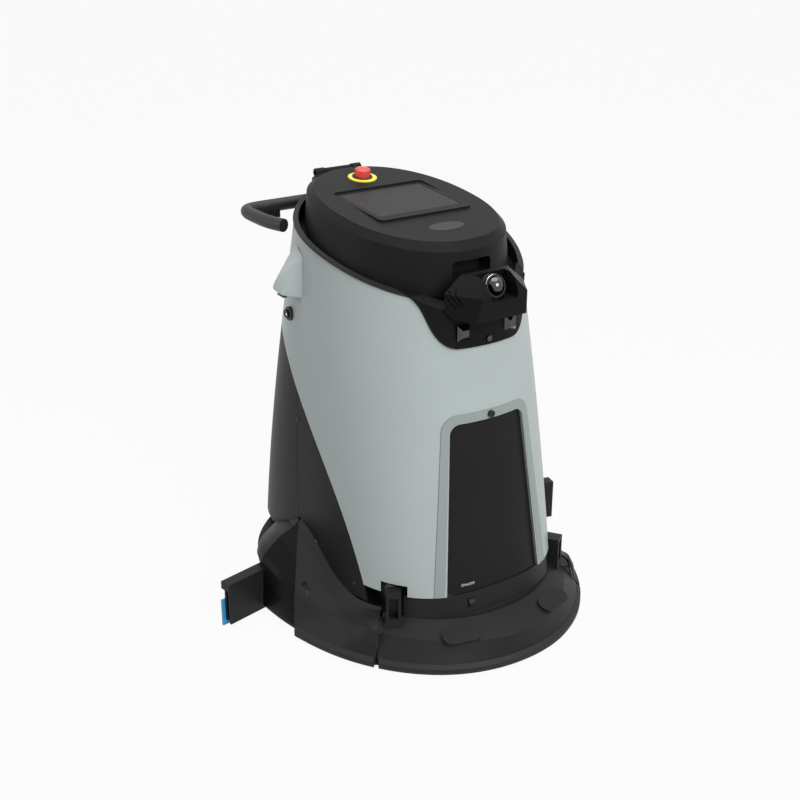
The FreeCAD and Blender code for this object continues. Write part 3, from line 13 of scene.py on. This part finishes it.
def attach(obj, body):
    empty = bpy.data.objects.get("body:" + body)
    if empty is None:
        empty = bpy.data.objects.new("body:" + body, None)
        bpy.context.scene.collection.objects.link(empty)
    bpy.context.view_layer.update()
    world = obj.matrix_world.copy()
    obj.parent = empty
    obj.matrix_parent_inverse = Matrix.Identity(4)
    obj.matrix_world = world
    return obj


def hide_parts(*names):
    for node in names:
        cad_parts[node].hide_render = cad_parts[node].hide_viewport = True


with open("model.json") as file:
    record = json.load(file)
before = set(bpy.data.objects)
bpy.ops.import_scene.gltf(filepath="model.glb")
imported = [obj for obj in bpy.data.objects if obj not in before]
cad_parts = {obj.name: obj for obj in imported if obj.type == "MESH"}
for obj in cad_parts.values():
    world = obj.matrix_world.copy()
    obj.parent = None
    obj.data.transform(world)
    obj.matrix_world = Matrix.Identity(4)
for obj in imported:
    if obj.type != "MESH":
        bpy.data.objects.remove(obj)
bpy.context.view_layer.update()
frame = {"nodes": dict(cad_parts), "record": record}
MM = 0.001
MERGE = 0.01 * MM                # vertices nearer than this are one
SIDES = ((-1, "right"), (1, "left"))

# ---------------------------------------------------------------- camera
VIEW_TURN, VIEW_HEIGHT = math.radians(-33.5), math.radians(23.0)
VIEW_DISTANCE, VIEW_TARGET = 3.15, Vector((-0.005, 0.0, 0.480))
camera_data = bpy.data.cameras.new("camera")
camera_data.lens = 57.15
camera_data.sensor_width = 36.0
camera = bpy.data.objects.new("camera", camera_data)
bpy.context.scene.collection.objects.link(camera)
bpy.context.scene.camera = camera
toward_camera = Vector((math.sin(VIEW_TURN) * math.cos(VIEW_HEIGHT),
                        -math.cos(VIEW_TURN) * math.cos(VIEW_HEIGHT), math.sin(VIEW_HEIGHT)))
camera.location = VIEW_TARGET + toward_camera * VIEW_DISTANCE
camera.rotation_euler = toward_camera.to_track_quat("Z", "Y").to_euler()
bpy.context.scene.view_settings.view_transform = "Standard"


# ---------------------------------------------------------------- materials
def linear(hex_value):
    """Linear RGBA of an sRGB colour written as RRGGBB."""
    channels = [int(hex_value[i:i + 2], 16) / 255 for i in (0, 2, 4)]
    return [c / 12.92 if c <= 0.04045 else ((c + 0.055) / 1.055) ** 2.4 for c in channels] + [1.0]


def add_node(tree, kind, settings=(), links=()):
    """Add a node, set its properties or input values by name, and link its inputs."""
    node = tree.nodes.new(kind)
    for name, value in dict(settings).items():
        if isinstance(name, str) and hasattr(node, name):
            setattr(node, name, value)
        else:
            node.inputs[name].default_value = value
    for name, output in dict(links).items():
        tree.links.new(output, node.inputs[name])
    return node


def new_tree(name):
    material = bpy.data.materials.new(name)
    material.use_nodes = True
    material.node_tree.nodes.clear()
    return material, material.node_tree


def moulded(name, light, dark, roughness, grain_mm, depth_mm, shine=0.5, patch_mm=180.0, coat=0.0,
            metal=0.0, ior=1.5):
    """A moulded or painted surface: a slow shift of tone, and a fine grain in the gloss and relief."""
    material, tree = new_tree(name)
    where = add_node(tree, "ShaderNodeTexCoord").outputs["Object"]
    broad = add_node(tree, "ShaderNodeTexNoise", {"Scale": 1000 / patch_mm, "Detail": 2.0},
                     {"Vector": where})
    fine = add_node(tree, "ShaderNodeTexNoise", {"Scale": 1000 / grain_mm, "Detail": 3.0},
                    {"Vector": where})
    tone = add_node(tree, "ShaderNodeMix", {"data_type": "RGBA", 6: linear(dark), 7: linear(light)},
                    {0: broad.outputs["Fac"]})
    gloss = add_node(tree, "ShaderNodeMapRange", {"From Min": 0.3, "From Max": 0.7,
                                                  "To Min": roughness - 0.05,
                                                  "To Max": roughness + 0.05},
                     {"Value": fine.outputs["Fac"]})
    relief = add_node(tree, "ShaderNodeBump", {"Strength": 0.35, "Distance": depth_mm * MM},
                      {"Height": fine.outputs["Fac"]})
    shader = add_node(tree, "ShaderNodeBsdfPrincipled",
                      {"Metallic": metal, "IOR": ior, "Specular IOR Level": shine,
                       "Coat Weight": coat, "Coat Roughness": 0.12},
                      {"Base Color": tone.outputs[2], "Roughness": gloss.outputs["Result"],
                       "Normal": relief.outputs["Normal"]})
    add_node(tree, "ShaderNodeOutputMaterial", {}, {"Surface": shader.outputs["BSDF"]})
    return material


def drawn_wire(name, colour, roughness, line_mm, axis):
    """Metal worked along one axis: fine lines across it in the gloss and relief."""
    material, tree = new_tree(name)
    where = add_node(tree, "ShaderNodeTexCoord").outputs["Object"]
    stretch = [1000 / line_mm] * 3
    stretch[axis] = 40.0
    along = add_node(tree, "ShaderNodeMapping", {"Scale": stretch}, {"Vector": where})
    lines = add_node(tree, "ShaderNodeTexNoise", {"Scale": 1.0, "Detail": 2.0},
                     {"Vector": along.outputs["Vector"]})
    gloss = add_node(tree, "ShaderNodeMapRange", {"To Min": roughness - 0.08, "To Max": roughness + 0.1},
                     {"Value": lines.outputs["Fac"]})
    relief = add_node(tree, "ShaderNodeBump", {"Strength": 0.2, "Distance": 0.05 * MM},
                      {"Height": lines.outputs["Fac"]})
    shader = add_node(tree, "ShaderNodeBsdfPrincipled", {"Base Color": linear(colour), "Metallic": 1.0},
                      {"Roughness": gloss.outputs["Result"], "Normal": relief.outputs["Normal"]})
    add_node(tree, "ShaderNodeOutputMaterial", {}, {"Surface": shader.outputs["BSDF"]})
    return material


# painted ABS: even sage grey with a satin clear coat, a faint orange peel
painted_abs = moulded("painted_abs", "A4ADAC", "9EA7A6", 0.40, 2.5, 0.02, shine=0.3)
# moulded ABS: near-black and fairly smooth, so it picks up broad soft reflections
smooth_abs = moulded("smooth_abs", "0E0E0E", "0B0B0B", 0.42, 2.0, 0.03, shine=0.08)
# spark-eroded ABS: matt black from a fine even grain
textured_abs = moulded("textured_abs", "181818", "141414", 0.50, 1.6, 0.08, shine=0.12)
# charcoal ABS of the lid: softer and lighter than the base, satin
charcoal_abs = moulded("charcoal_abs", "1B1B1B", "171717", 0.50, 1.8, 0.05, shine=0.08)
# polypropylene of the base: black, waxy, with a coarser grain
base_polypropylene = moulded("base_polypropylene", "1C1C1C", "171717", 0.50, 2.2, 0.08, shine=0.18)
# EPDM rubber of the bumper: dull black with a dusty tone
bumper_epdm = moulded("bumper_epdm", "232323", "1C1C1C", 0.62, 2.8, 0.1, shine=0.25)
# etched toughened glass over a dark screen: flat dark grey with a soft haze and no mirror image
screen_glass = moulded("screen_glass", "2B2B2C", "272728", 0.46, 6.0, 0.005, shine=0.1)
# lens glass: deep black with a clear reflection
lens_glass = moulded("lens_glass", "060708", "040405", 0.08, 5.0, 0.002, shine=0.7, coat=0.5)
# nylon parts near the sensors: black, matt
sensor_nylon = moulded("sensor_nylon", "202020", "1B1B1B", 0.48, 1.5, 0.05, shine=0.3)
# polyamide button: signal red, satin
signal_red = moulded("signal_red", "D4403A", "C93832", 0.32, 2.0, 0.02)
# printed yellow label of the stop ring: satin
signal_yellow = moulded("signal_yellow", "F0E04A", "E6D53F", 0.4, 3.0, 0.01)
# powder-coated steel: dark grey with a fine nubbly coat
coated_steel = moulded("coated_steel", "232425", "1E1F20", 0.45, 1.4, 0.1, shine=0.3)
# zinc-plated steel: bluish grey and bright, with drawn lines
zinc_plate = drawn_wire("zinc_plate", "B9BCBE", 0.32, 0.8, 2)
# polyurethane tyre: dark grey rubber, dull
tyre_polyurethane = moulded("tyre_polyurethane", "2B2B2B", "232323", 0.6, 2.5, 0.12, shine=0.4)
# glass-filled nylon hub: mid grey, matt
hub_nylon = moulded("hub_nylon", "6C7072", "626668", 0.5, 1.5, 0.06)
# rotomoulded polyethylene tank: cloudy grey, waxy skin
tank_polyethylene = moulded("tank_polyethylene", "8E9496", "83898B", 0.5, 4.0, 0.15)
# nylon bristle: bright blue, each strand smooth
bristle_nylon = moulded("bristle_nylon", "2E84C4", "2470AC", 0.35, 1.0, 0.02)
# polyurethane squeegee blade: clear blue, smooth
blade_polyurethane = moulded("blade_polyurethane", "2A93C6", "2386B8", 0.28, 3.0, 0.02)
# painted ABS of the panel's sloping border: the shell's grey a tone down, which is painted shade standing
# in for the shading of a recessed chamfer
border_abs_painted_shade = moulded("border_abs_painted_shade", "8B9493", "868F8E", 0.42, 2.5, 0.02, shine=0.3)
# polished chrome-plated rim: mirror-bright with faint buffing lines
chrome_rim = drawn_wire("chrome_rim", "D6D8DA", 0.14, 0.6, 2)
# pad-printed white ink: flat, slightly chalky
white_ink = moulded("white_ink", "D8D8D6", "CFCFCD", 0.6, 1.2, 0.01, shine=0.3)
# soft-touch grip: matt black elastomer over the tube
grip_elastomer = moulded("grip_elastomer", "1A1A1A", "151515", 0.5, 1.5, 0.06, shine=0.4)

SLOT_MATERIALS = {
    "shell_grey": painted_abs, "cover_black": smooth_abs, "panel_black": textured_abs,
    "lid_charcoal": charcoal_abs, "base_black": base_polypropylene, "bumper_rubber": bumper_epdm,
    "screen_glass": screen_glass, "lens_glass": lens_glass, "sensor_black": sensor_nylon,
    "stop_red": signal_red, "stop_yellow": signal_yellow, "dark_steel": coated_steel,
    "zinc_steel": zinc_plate, "tyre_rubber": tyre_polyurethane, "hub_plastic": hub_nylon,
    "tank_plastic": tank_polyethylene, "bristle_blue": bristle_nylon,
    "squeegee_blue": blade_polyurethane, "grip_black": grip_elastomer,
}
for entry in frame["record"]["subparts"]:
    cad_node = frame["nodes"][entry["node"]]
    cad_node.data.materials.clear()
    cad_node.data.materials.append(SLOT_MATERIALS[entry["material_slot"]])


# ---------------------------------------------------------------- helpers for the robot's own pieces
def dressed(name, form, finish, body, stands_for=(), crease=30.0):
    """Turn a finished form into a piece that rides on a body and may stand for CAD nodes."""
    bmesh.ops.recalc_face_normals(form, faces=form.faces)
    mesh = bpy.data.meshes.new(name)
    form.to_mesh(mesh)
    form.free()
    mesh.shade_smooth()
    mesh.set_sharp_from_angle(angle=math.radians(crease))
    mesh.materials.append(finish)
    piece = bpy.data.objects.new(name, mesh)
    bpy.context.scene.collection.objects.link(piece)
    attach(piece, body)
    if stands_for:
        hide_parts(*stands_for)
    return piece


def moved_verts(made):
    """The vertices among what an operator made."""
    return [g for g in made if isinstance(g, bmesh.types.BMVert)]


def bevelled(form, offset_mm, segments):
    """Round every edge of a form."""
    bmesh.ops.bevel(form, geom=form.edges[:], offset=offset_mm * MM, offset_type="OFFSET",
                    segments=segments, profile=0.5, affect="EDGES", material=-1, clamp_overlap=True)


def rounded_block(size_mm, at_mm, edge_mm, segments):
    """A block about a middle point, its edges rounded."""
    form = bmesh.new()
    bmesh.ops.create_cube(form, size=1.0)
    bmesh.ops.scale(form, vec=Vector(size_mm) * MM, verts=form.verts)
    bmesh.ops.translate(form, vec=Vector(at_mm) * MM, verts=form.verts)
    bevelled(form, edge_mm, segments)
    return form


def turned(profile_mm, at_mm, axis, steps=48):
    """Revolve a (radius, height) profile once round an axis through a point."""
    form = bmesh.new()
    axis = Vector(axis).normalized()
    side = axis.orthogonal().normalized()
    at = Vector(at_mm)
    rim = [form.verts.new((at + side * r + axis * h) * MM) for r, h in profile_mm]
    edges = [form.edges.new(pair) for pair in zip(rim, rim[1:])]
    bmesh.ops.spin(form, geom=rim + edges, cent=at * MM, axis=axis, angle=2 * math.pi, steps=steps,
                   use_merge=True)
    bmesh.ops.remove_doubles(form, verts=form.verts, dist=MERGE)
    return form


def copied(node):
    """A CAD node's mesh with its loose triangles joined."""
    form = bmesh.new()
    form.from_mesh(frame["nodes"][node].data)
    bmesh.ops.remove_doubles(form, verts=form.verts, dist=MERGE)
    return form


def meshed(holder):
    """A curve or text object turned into a form; the object goes."""
    form = bmesh.new()
    form.from_mesh(bpy.data.meshes.new_from_object(holder))
    bpy.data.objects.remove(holder)
    return form


def skin_of(*nodes):
    """Search trees over CAD nodes, for laying a piece on their surface."""
    trees = []
    for node in nodes:
        form = copied(node)
        trees.append(BVHTree.FromBMesh(form))
        form.free()
    return trees


def laid_on(trees, point, toward, fallback=None):
    """First point of the surfaces met from a point in a direction."""
    hits = [tree.ray_cast(point, toward) for tree in trees]
    hits = [hit for hit in hits if hit[0] is not None]
    return min(hits, key=lambda hit: hit[3])[0] if hits else fallback


# ---------------------------------------------------------------- base: curtain, shroud and seam flaps
FLAP_LOW_Z, FLAP_HIGH, FLAP_HALF_WIDTH, FLAP_BEHIND_SKIN = 8.0, 92.0, 18.0, 9.0
FLAP_LOOK_FROM = 120.0          # outside both skins
SEAM_X, SEAM_X_PER_Z, SEAM_Y, SEAM_Y_PER_Z = 303.0, 0.40, -358.0, 0.62


def skirted(node, cut_z, low_z, shrink):
    """Section of a node at one height, drawn in towards the middle and carried down as a thin wall."""
    form = copied(node)
    section = bmesh.ops.bisect_plane(form, geom=form.verts[:] + form.edges[:] + form.faces[:],
                                     plane_co=(0, 0, cut_z * MM), plane_no=(0, 0, 1))["geom_cut"]
    kept = {g for g in section if isinstance(g, bmesh.types.BMEdge)}
    bmesh.ops.delete(form, geom=[v for v in form.verts if not kept & set(v.link_edges)], context="VERTS")
    bmesh.ops.delete(form, geom=[e for e in form.edges if e not in kept], context="EDGES_FACES")
    bmesh.ops.scale(form, vec=(shrink, shrink, 1.0), verts=form.verts)
    lower = bmesh.ops.extrude_edge_only(form, edges=form.edges[:])["geom"]
    bmesh.ops.translate(form, vec=(0, 0, (low_z - cut_z) * MM), verts=moved_verts(lower))
    return form


# under the apron, ending above the brushes, and behind the gap over each fairing
for name, node, cut_z, low_z, shrink in (("splash_curtain", "front_apron", 107.0, 66.0, 1.0),
                                         ("wheel_shroud", "side_panels", 172.0, 102.0, 0.975)):
    dressed(name, skirted(node, cut_z, low_z, shrink), bumper_epdm, "housing")

# a dark flap behind the seam between each fairing and the bumper, inside their skins
base_skin = skin_of("front_bumper", "side_fairings", "bumper_strip", "side_strips")
for side, word in SIDES:
    outward = Vector((side * 0.81, -0.587, 0.0))
    along = Vector((side * 0.587, 0.81, 0.0))
    flap = bmesh.new()
    bmesh.ops.create_grid(flap, x_segments=4, y_segments=12, size=1.0)
    for vert in flap.verts:
        z = FLAP_LOW_Z + (vert.co.y + 1.0) / 2.0 * FLAP_HIGH
        seam = Vector((side * (SEAM_X - SEAM_X_PER_Z * z), SEAM_Y + SEAM_Y_PER_Z * z, z))
        start = (seam + along * vert.co.x * FLAP_HALF_WIDTH + outward * FLAP_LOOK_FROM) * MM
        skin = laid_on(base_skin, start, -outward, seam * MM)
        vert.co = skin - outward * FLAP_BEHIND_SKIN * MM
    dressed("seam_flap_" + word, flap, bumper_epdm, "housing")

# ---------------------------------------------------------------- front panel: border and switch words
BORDER_OUTER = ((-162, 158), (162, 158), (117, 584), (-117, 584))       # x, z
BORDER_INNER = ((-138.5, 158), (138.5, 158), (101.5, 563), (-101.5, 563))
BORDER_OUTER_R, BORDER_INNER_R = 34.0, 24.0
BORDER_OUT_Y, BORDER_LIP, BORDER_SINK = -440.0, 3.2, 1.0
BORDER_LOW_Z, BORDER_HIGH, BORDER_TOP_MIDDLE_Z = 158.0, 405.0, 573.5
BORDER_MIDDLE_X, BORDER_TAPER = 150.2, 41.0     # halfway between the two loops
LONG_EDGE, CUTS = 60.0, 24
WORDS_X, WORDS_Z, WORDS_ASIDE, WORDS_PROUD = -78.0, 172.0, 20.0, 0.5
WORDS_HIGH, WORDS_THICK = 9.5, 0.1
REARWARD = Vector((0, 1, 0))


def rounded_loop(form, corners, radius_mm):
    """Outline in the XZ plane, open below, whose two upper corners are rounded."""
    verts = [form.verts.new(Vector((x, BORDER_OUT_Y, z)) * MM) for x, z in corners]
    for i in (1, 2, 3):
        form.edges.new((verts[i], verts[(i + 1) % 4]))
    bmesh.ops.bevel(form, geom=[verts[2], verts[3]], offset=radius_mm * MM, offset_type="OFFSET",
                    segments=6, profile=0.5, affect="VERTICES", material=-1)


border = bmesh.new()
rounded_loop(border, BORDER_OUTER, BORDER_OUTER_R)
rounded_loop(border, BORDER_INNER, BORDER_INNER_R)
bmesh.ops.bridge_loops(border, edges=border.edges[:])
bmesh.ops.subdivide_edges(border, edges=[e for e in border.edges if e.calc_length() > LONG_EDGE * MM],
                          cuts=CUTS, use_grid_fill=True)
shell_skin = skin_of("front_shell", "front_panel")
for vert in border.verts:
    vert.co.y = laid_on(shell_skin, vert.co, REARWARD, vert.co).y
raised = bmesh.ops.extrude_face_region(border, geom=border.faces[:])["geom"]
for vert in moved_verts(raised):
    rise = (vert.co.z / MM - BORDER_LOW_Z) / BORDER_HIGH
    middle = BORDER_MIDDLE_X - BORDER_TAPER * rise
    outer = abs(vert.co.x) / MM > middle or vert.co.z / MM > BORDER_TOP_MIDDLE_Z
    vert.co.y -= (BORDER_LIP if outer else BORDER_SINK) * MM
# the border's grey, a tone darker than the shell, is painted shade
dressed("panel_border", border, border_abs_painted_shade, "housing")

words = bpy.data.curves.new("switch_words", "FONT")
words.body, words.size, words.extrude = "ON/OFF", WORDS_HIGH * MM, WORDS_THICK * MM
words.align_x = "CENTER"
words_form = meshed(bpy.data.objects.new("switch_words_flat", words))
spot, beside = [laid_on(shell_skin, Vector((x, BORDER_OUT_Y, WORDS_Z)) * MM, REARWARD)
                for x in (WORDS_X, WORDS_X - WORDS_ASIDE)]
upright = Matrix.Rotation(math.radians(90), 3, "X")
along_panel = Matrix.Rotation(math.atan2(spot.y - beside.y, spot.x - beside.x), 3, "Z")
for turn in (upright, along_panel):
    bmesh.ops.rotate(words_form, cent=(0, 0, 0), matrix=turn, verts=words_form.verts)
bmesh.ops.translate(words_form, vec=spot + Vector((0, -WORDS_PROUD * MM, 0)), verts=words_form.verts)
dressed("switch_words", words_form, white_ink, "housing")

# ---------------------------------------------------------------- emergency stop
LID_TILT = math.radians(6.5)
STOP_AXIS = Vector((0, -math.sin(LID_TILT), math.cos(LID_TILT)))
STOP_AT = Vector((0.0, 173.5, 1003.5))
CAP_PROFILE = ((0, 25.5), (9, 25.2), (15, 24.0), (18.3, 21.5), (19.2, 18.0), (19.4, 4.0), (18.6, -2.0),
               (0, -2.0))       # straight sides and a low crown
WELL_PROFILE = ((19.9, 3.5), (21.5, 5.6), (24.0, 5.6), (25.0, 4.0), (25.0, -2.5), (19.9, -2.5),
                (19.9, 3.5))
dressed("stop_cap", turned(CAP_PROFILE, STOP_AT, STOP_AXIS), signal_red, "stop_button",
        ("stop_head",))
dressed("stop_well", turned(WELL_PROFILE, STOP_AT, STOP_AXIS), sensor_nylon, "lid")

# ---------------------------------------------------------------- lidar: bright rim round the lens
LENS_TILT = math.radians(20.0)
LENS_AT = Vector((0.0, -350.0, 868.0))
LENS_AXIS = Vector((0.0, -math.cos(LENS_TILT), math.sin(LENS_TILT)))
LENS_RIM_PROFILE = ((21.7, 12.5), (22.2, 15.0), (24.0, 15.6), (25.6, 14.0), (25.6, 11.0), (21.7, 12.5))
dressed("lidar_rim", turned(LENS_RIM_PROFILE, LENS_AT, LENS_AXIS, 64), chrome_rim, "housing")

# ---------------------------------------------------------------- side sensors and camera hoods
SENSOR_X, SENSOR_Y, SENSOR_Z = 262.0, 85.0, 731.0
CUP_PROFILE = ((16.5, -10.0), (16.5, 2.0), (15.0, 3.4), (12.5, 3.4), (11.0, 1.0), (8.0, -1.5), (0, -2.5))
CUP_RIM_PROFILE = ((10.9, 0.8), (11.4, 2.2), (12.6, 2.2), (12.9, 0.8), (10.9, 0.8))
HOOD_CORNERS = {"apex": (245, 66, 903), "front_top": (250, 27, 880), "front_low": (256, 22, 782),
                "rear_low": (252, 112, 776), "rear_top": (246, 104, 868),
                "tip_front": (300, 48, 790), "tip_rear": (311, 74, 806), "brow": (296, 66, 838)}
HOOD_SIDES = (("apex", "front_top", "brow"), ("front_top", "tip_front", "tip_rear", "brow"),
              ("front_top", "front_low", "tip_front"), ("apex", "brow", "tip_rear", "rear_top"),
              ("rear_top", "tip_rear", "rear_low"), ("front_low", "rear_low", "tip_rear", "tip_front"),
              ("apex", "rear_top", "rear_low", "front_low", "front_top"))
HOOD_EDGE = 5.0
HOOD_LENS_SIZE, HOOD_LENS_X, HOOD_LENS_Y, HOOD_LENS_Z = (10.0, 34.0, 4.0), 291.0, 62.0, 787.5

for side, word in SIDES:
    at, out = Vector((side * SENSOR_X, SENSOR_Y, SENSOR_Z)), Vector((side * 1.0, 0.0, 0.0))
    dressed("side_sensor_cup_" + word, turned(CUP_PROFILE, at, out), sensor_nylon, "housing")
    dressed("side_sensor_rim_" + word, turned(CUP_RIM_PROFILE, at, out), chrome_rim, "housing")

    hood = bmesh.new()
    corner = {key: hood.verts.new(Vector((side * x, y, z)) * MM)
              for key, (x, y, z) in HOOD_CORNERS.items()}
    for names in HOOD_SIDES:
        hood.faces.new([corner[key] for key in names])
    bmesh.ops.recalc_face_normals(hood, faces=hood.faces)
    bevelled(hood, HOOD_EDGE, 4)
    dressed("camera_hood_" + word, hood, painted_abs, "housing", ("camera_hoods",), 60.0)
    lens = rounded_block(HOOD_LENS_SIZE, (side * HOOD_LENS_X, HOOD_LENS_Y, HOOD_LENS_Z), 1.4, 2)
    dressed("hood_lens_" + word, lens, lens_glass, "housing")

# ---------------------------------------------------------------- push bar and its mount
BAR_Z, BAR_R = 897.0, 16.5
BAR_HALF = ((184, 240), (192, 262), (201, 300), (202, 350), (202, 392), (193, 420), (166, 428),
            (120, 428))         # x, y from the free end to the back
BAR_REAR_Y = 428
bar_path = bpy.data.curves.new("push_bar_path", "CURVE")
bar_path.dimensions, bar_path.bevel_depth, bar_path.bevel_resolution = "3D", BAR_R * MM, 6
bar_path.use_fill_caps = True
bar_line = bar_path.splines.new("NURBS")
stops = list(BAR_HALF) + [(0, BAR_REAR_Y)] + [(-x, y) for x, y in reversed(BAR_HALF)]
bar_line.points.add(len(stops) - 1)
for point, (x, y) in zip(bar_line.points, stops):
    point.co = (x * MM, y * MM, BAR_Z * MM, 1.0)
bar_line.order_u, bar_line.use_endpoint_u, bar_line.resolution_u = 3, True, 8
bar = meshed(bpy.data.objects.new("push_bar_line", bar_path))
bmesh.ops.remove_doubles(bar, verts=bar.verts, dist=MERGE)
dressed("push_bar", bar, grip_elastomer, "housing", ("handle_tube",), 50.0)

MOUNT_TOP = ((-66, 262, 990), (66, 262, 990), (54, 330, 984), (-54, 330, 984))
MOUNT_HIGH, MOUNT_EDGE = 96.0, 7.0
mount = bmesh.new()
mount_top = mount.faces.new([mount.verts.new(Vector(p) * MM) for p in MOUNT_TOP])
mount_low = bmesh.ops.extrude_face_region(mount, geom=[mount_top])["geom"]
bmesh.ops.translate(mount, vec=(0, 0, -MOUNT_HIGH * MM), verts=moved_verts(mount_low))
bmesh.ops.recalc_face_normals(mount, faces=mount.faces)
bevelled(mount, MOUNT_EDGE, 3)
dressed("bar_mount", mount, charcoal_abs, "housing", ("handle_bracket",), 40.0)

# the lid's hinge pin runs in a knuckle that a web joins to the mount
PIN_AT, PIN_AXIS = Vector((0.0, 290.0, 1001.0)), Vector((1.0, 0.0, 0.0))
KNUCKLE_PROFILE = ((5.2, -37.5), (9.0, -37.5), (9.0, 37.5), (5.2, 37.5), (5.2, -37.5))
dressed("hinge_knuckle", turned(KNUCKLE_PROFILE, PIN_AT, PIN_AXIS, 32), charcoal_abs, "housing")
dressed("hinge_web", rounded_block((75.0, 14.0, 18.0), (0.0, 290.0, 988.5), 1.5, 2), charcoal_abs,
        "housing")
dressed("bar_stem", rounded_block((54.0, 118.0, 26.0), (0.0, 378.0, BAR_Z), 5.0, 3), charcoal_abs,
        "housing", (), 40.0)


# ---------------------------------------------------------------- stage and light
FLOOR_R, FLOOR_GLOW, SKY_LIGHT = 40.0, 0.94, 0.34
LAMP_AIM = Vector((0.0, 0.0, 0.5))


def seen_directly(tree):
    """1 for what the camera sees itself, in a reflection or through glass, and 0 for light on the robot."""
    ray = add_node(tree, "ShaderNodeLightPath")
    mirrored = add_node(tree, "ShaderNodeMath", {"operation": "MAXIMUM"},
                        {0: ray.outputs["Is Glossy Ray"], 1: ray.outputs["Is Transmission Ray"]})
    seen = add_node(tree, "ShaderNodeMath", {"operation": "MAXIMUM"},
                    {0: ray.outputs["Is Camera Ray"], 1: mirrored.outputs["Value"]})
    return seen.outputs["Value"]


def studio_white(name, colour):
    """A pale floor that lights the robot softly, shows as white and keeps a faint shadow."""
    material, tree = new_tree(name)
    lit = add_node(tree, "ShaderNodeBsdfDiffuse", {"Color": linear(colour)})
    glow = add_node(tree, "ShaderNodeEmission", {"Color": linear("FFFFFF"), "Strength": 1.0})
    share = add_node(tree, "ShaderNodeMath", {"operation": "MULTIPLY", 1: FLOOR_GLOW},
                     {0: seen_directly(tree)})
    mixed = add_node(tree, "ShaderNodeMixShader", {}, {0: share.outputs["Value"],
                                                       1: lit.outputs["BSDF"],
                                                       2: glow.outputs["Emission"]})
    add_node(tree, "ShaderNodeOutputMaterial", {}, {"Surface": mixed.outputs["Shader"]})
    return material


floor_form = bmesh.new()
bmesh.ops.create_circle(floor_form, cap_ends=True, segments=64, radius=FLOOR_R)
floor_mesh = bpy.data.meshes.new("floor")
floor_form.to_mesh(floor_mesh)
floor_form.free()
floor = bpy.data.objects.new("floor", floor_mesh)
bpy.context.scene.collection.objects.link(floor)
floor_mesh.materials.append(studio_white("floor_white", "B4B4B4"))

world = bpy.data.worlds.new("studio")
bpy.context.scene.world = world
world.use_nodes = True
world.node_tree.nodes.clear()
soft_light = add_node(world.node_tree, "ShaderNodeBackground", {"Color": linear("FFFFFF"),
                                                                "Strength": SKY_LIGHT})
white_wall = add_node(world.node_tree, "ShaderNodeBackground", {"Color": linear("FFFFFF"),
                                                                "Strength": 1.0})
sky = add_node(world.node_tree, "ShaderNodeMixShader", {}, {0: seen_directly(world.node_tree),
                                                            1: soft_light.outputs["Background"],
                                                            2: white_wall.outputs["Background"]})
add_node(world.node_tree, "ShaderNodeOutputWorld", {}, {"Surface": sky.outputs["Shader"]})


def soft_box(name, at, width, height, watts):
    """A rectangular lamp that faces the robot's middle."""
    lamp = bpy.data.lights.new(name, "AREA")
    lamp.shape = "RECTANGLE"
    lamp.size, lamp.size_y, lamp.energy = width, height, watts
    holder = bpy.data.objects.new(name, lamp)
    bpy.context.scene.collection.objects.link(holder)
    holder.location = at
    holder.rotation_euler = (Vector(at) - LAMP_AIM).to_track_quat("Z", "Y").to_euler()


soft_box("key", (-0.1, -3.9, 2.9), 2.2, 2.2, 168.0)
soft_box("top", (0.2, 0.2, 4.0), 3.0, 3.0, 88.0)
soft_box("side", (-3.6, 1.4, 2.0), 1.4, 2.4, 30.0)
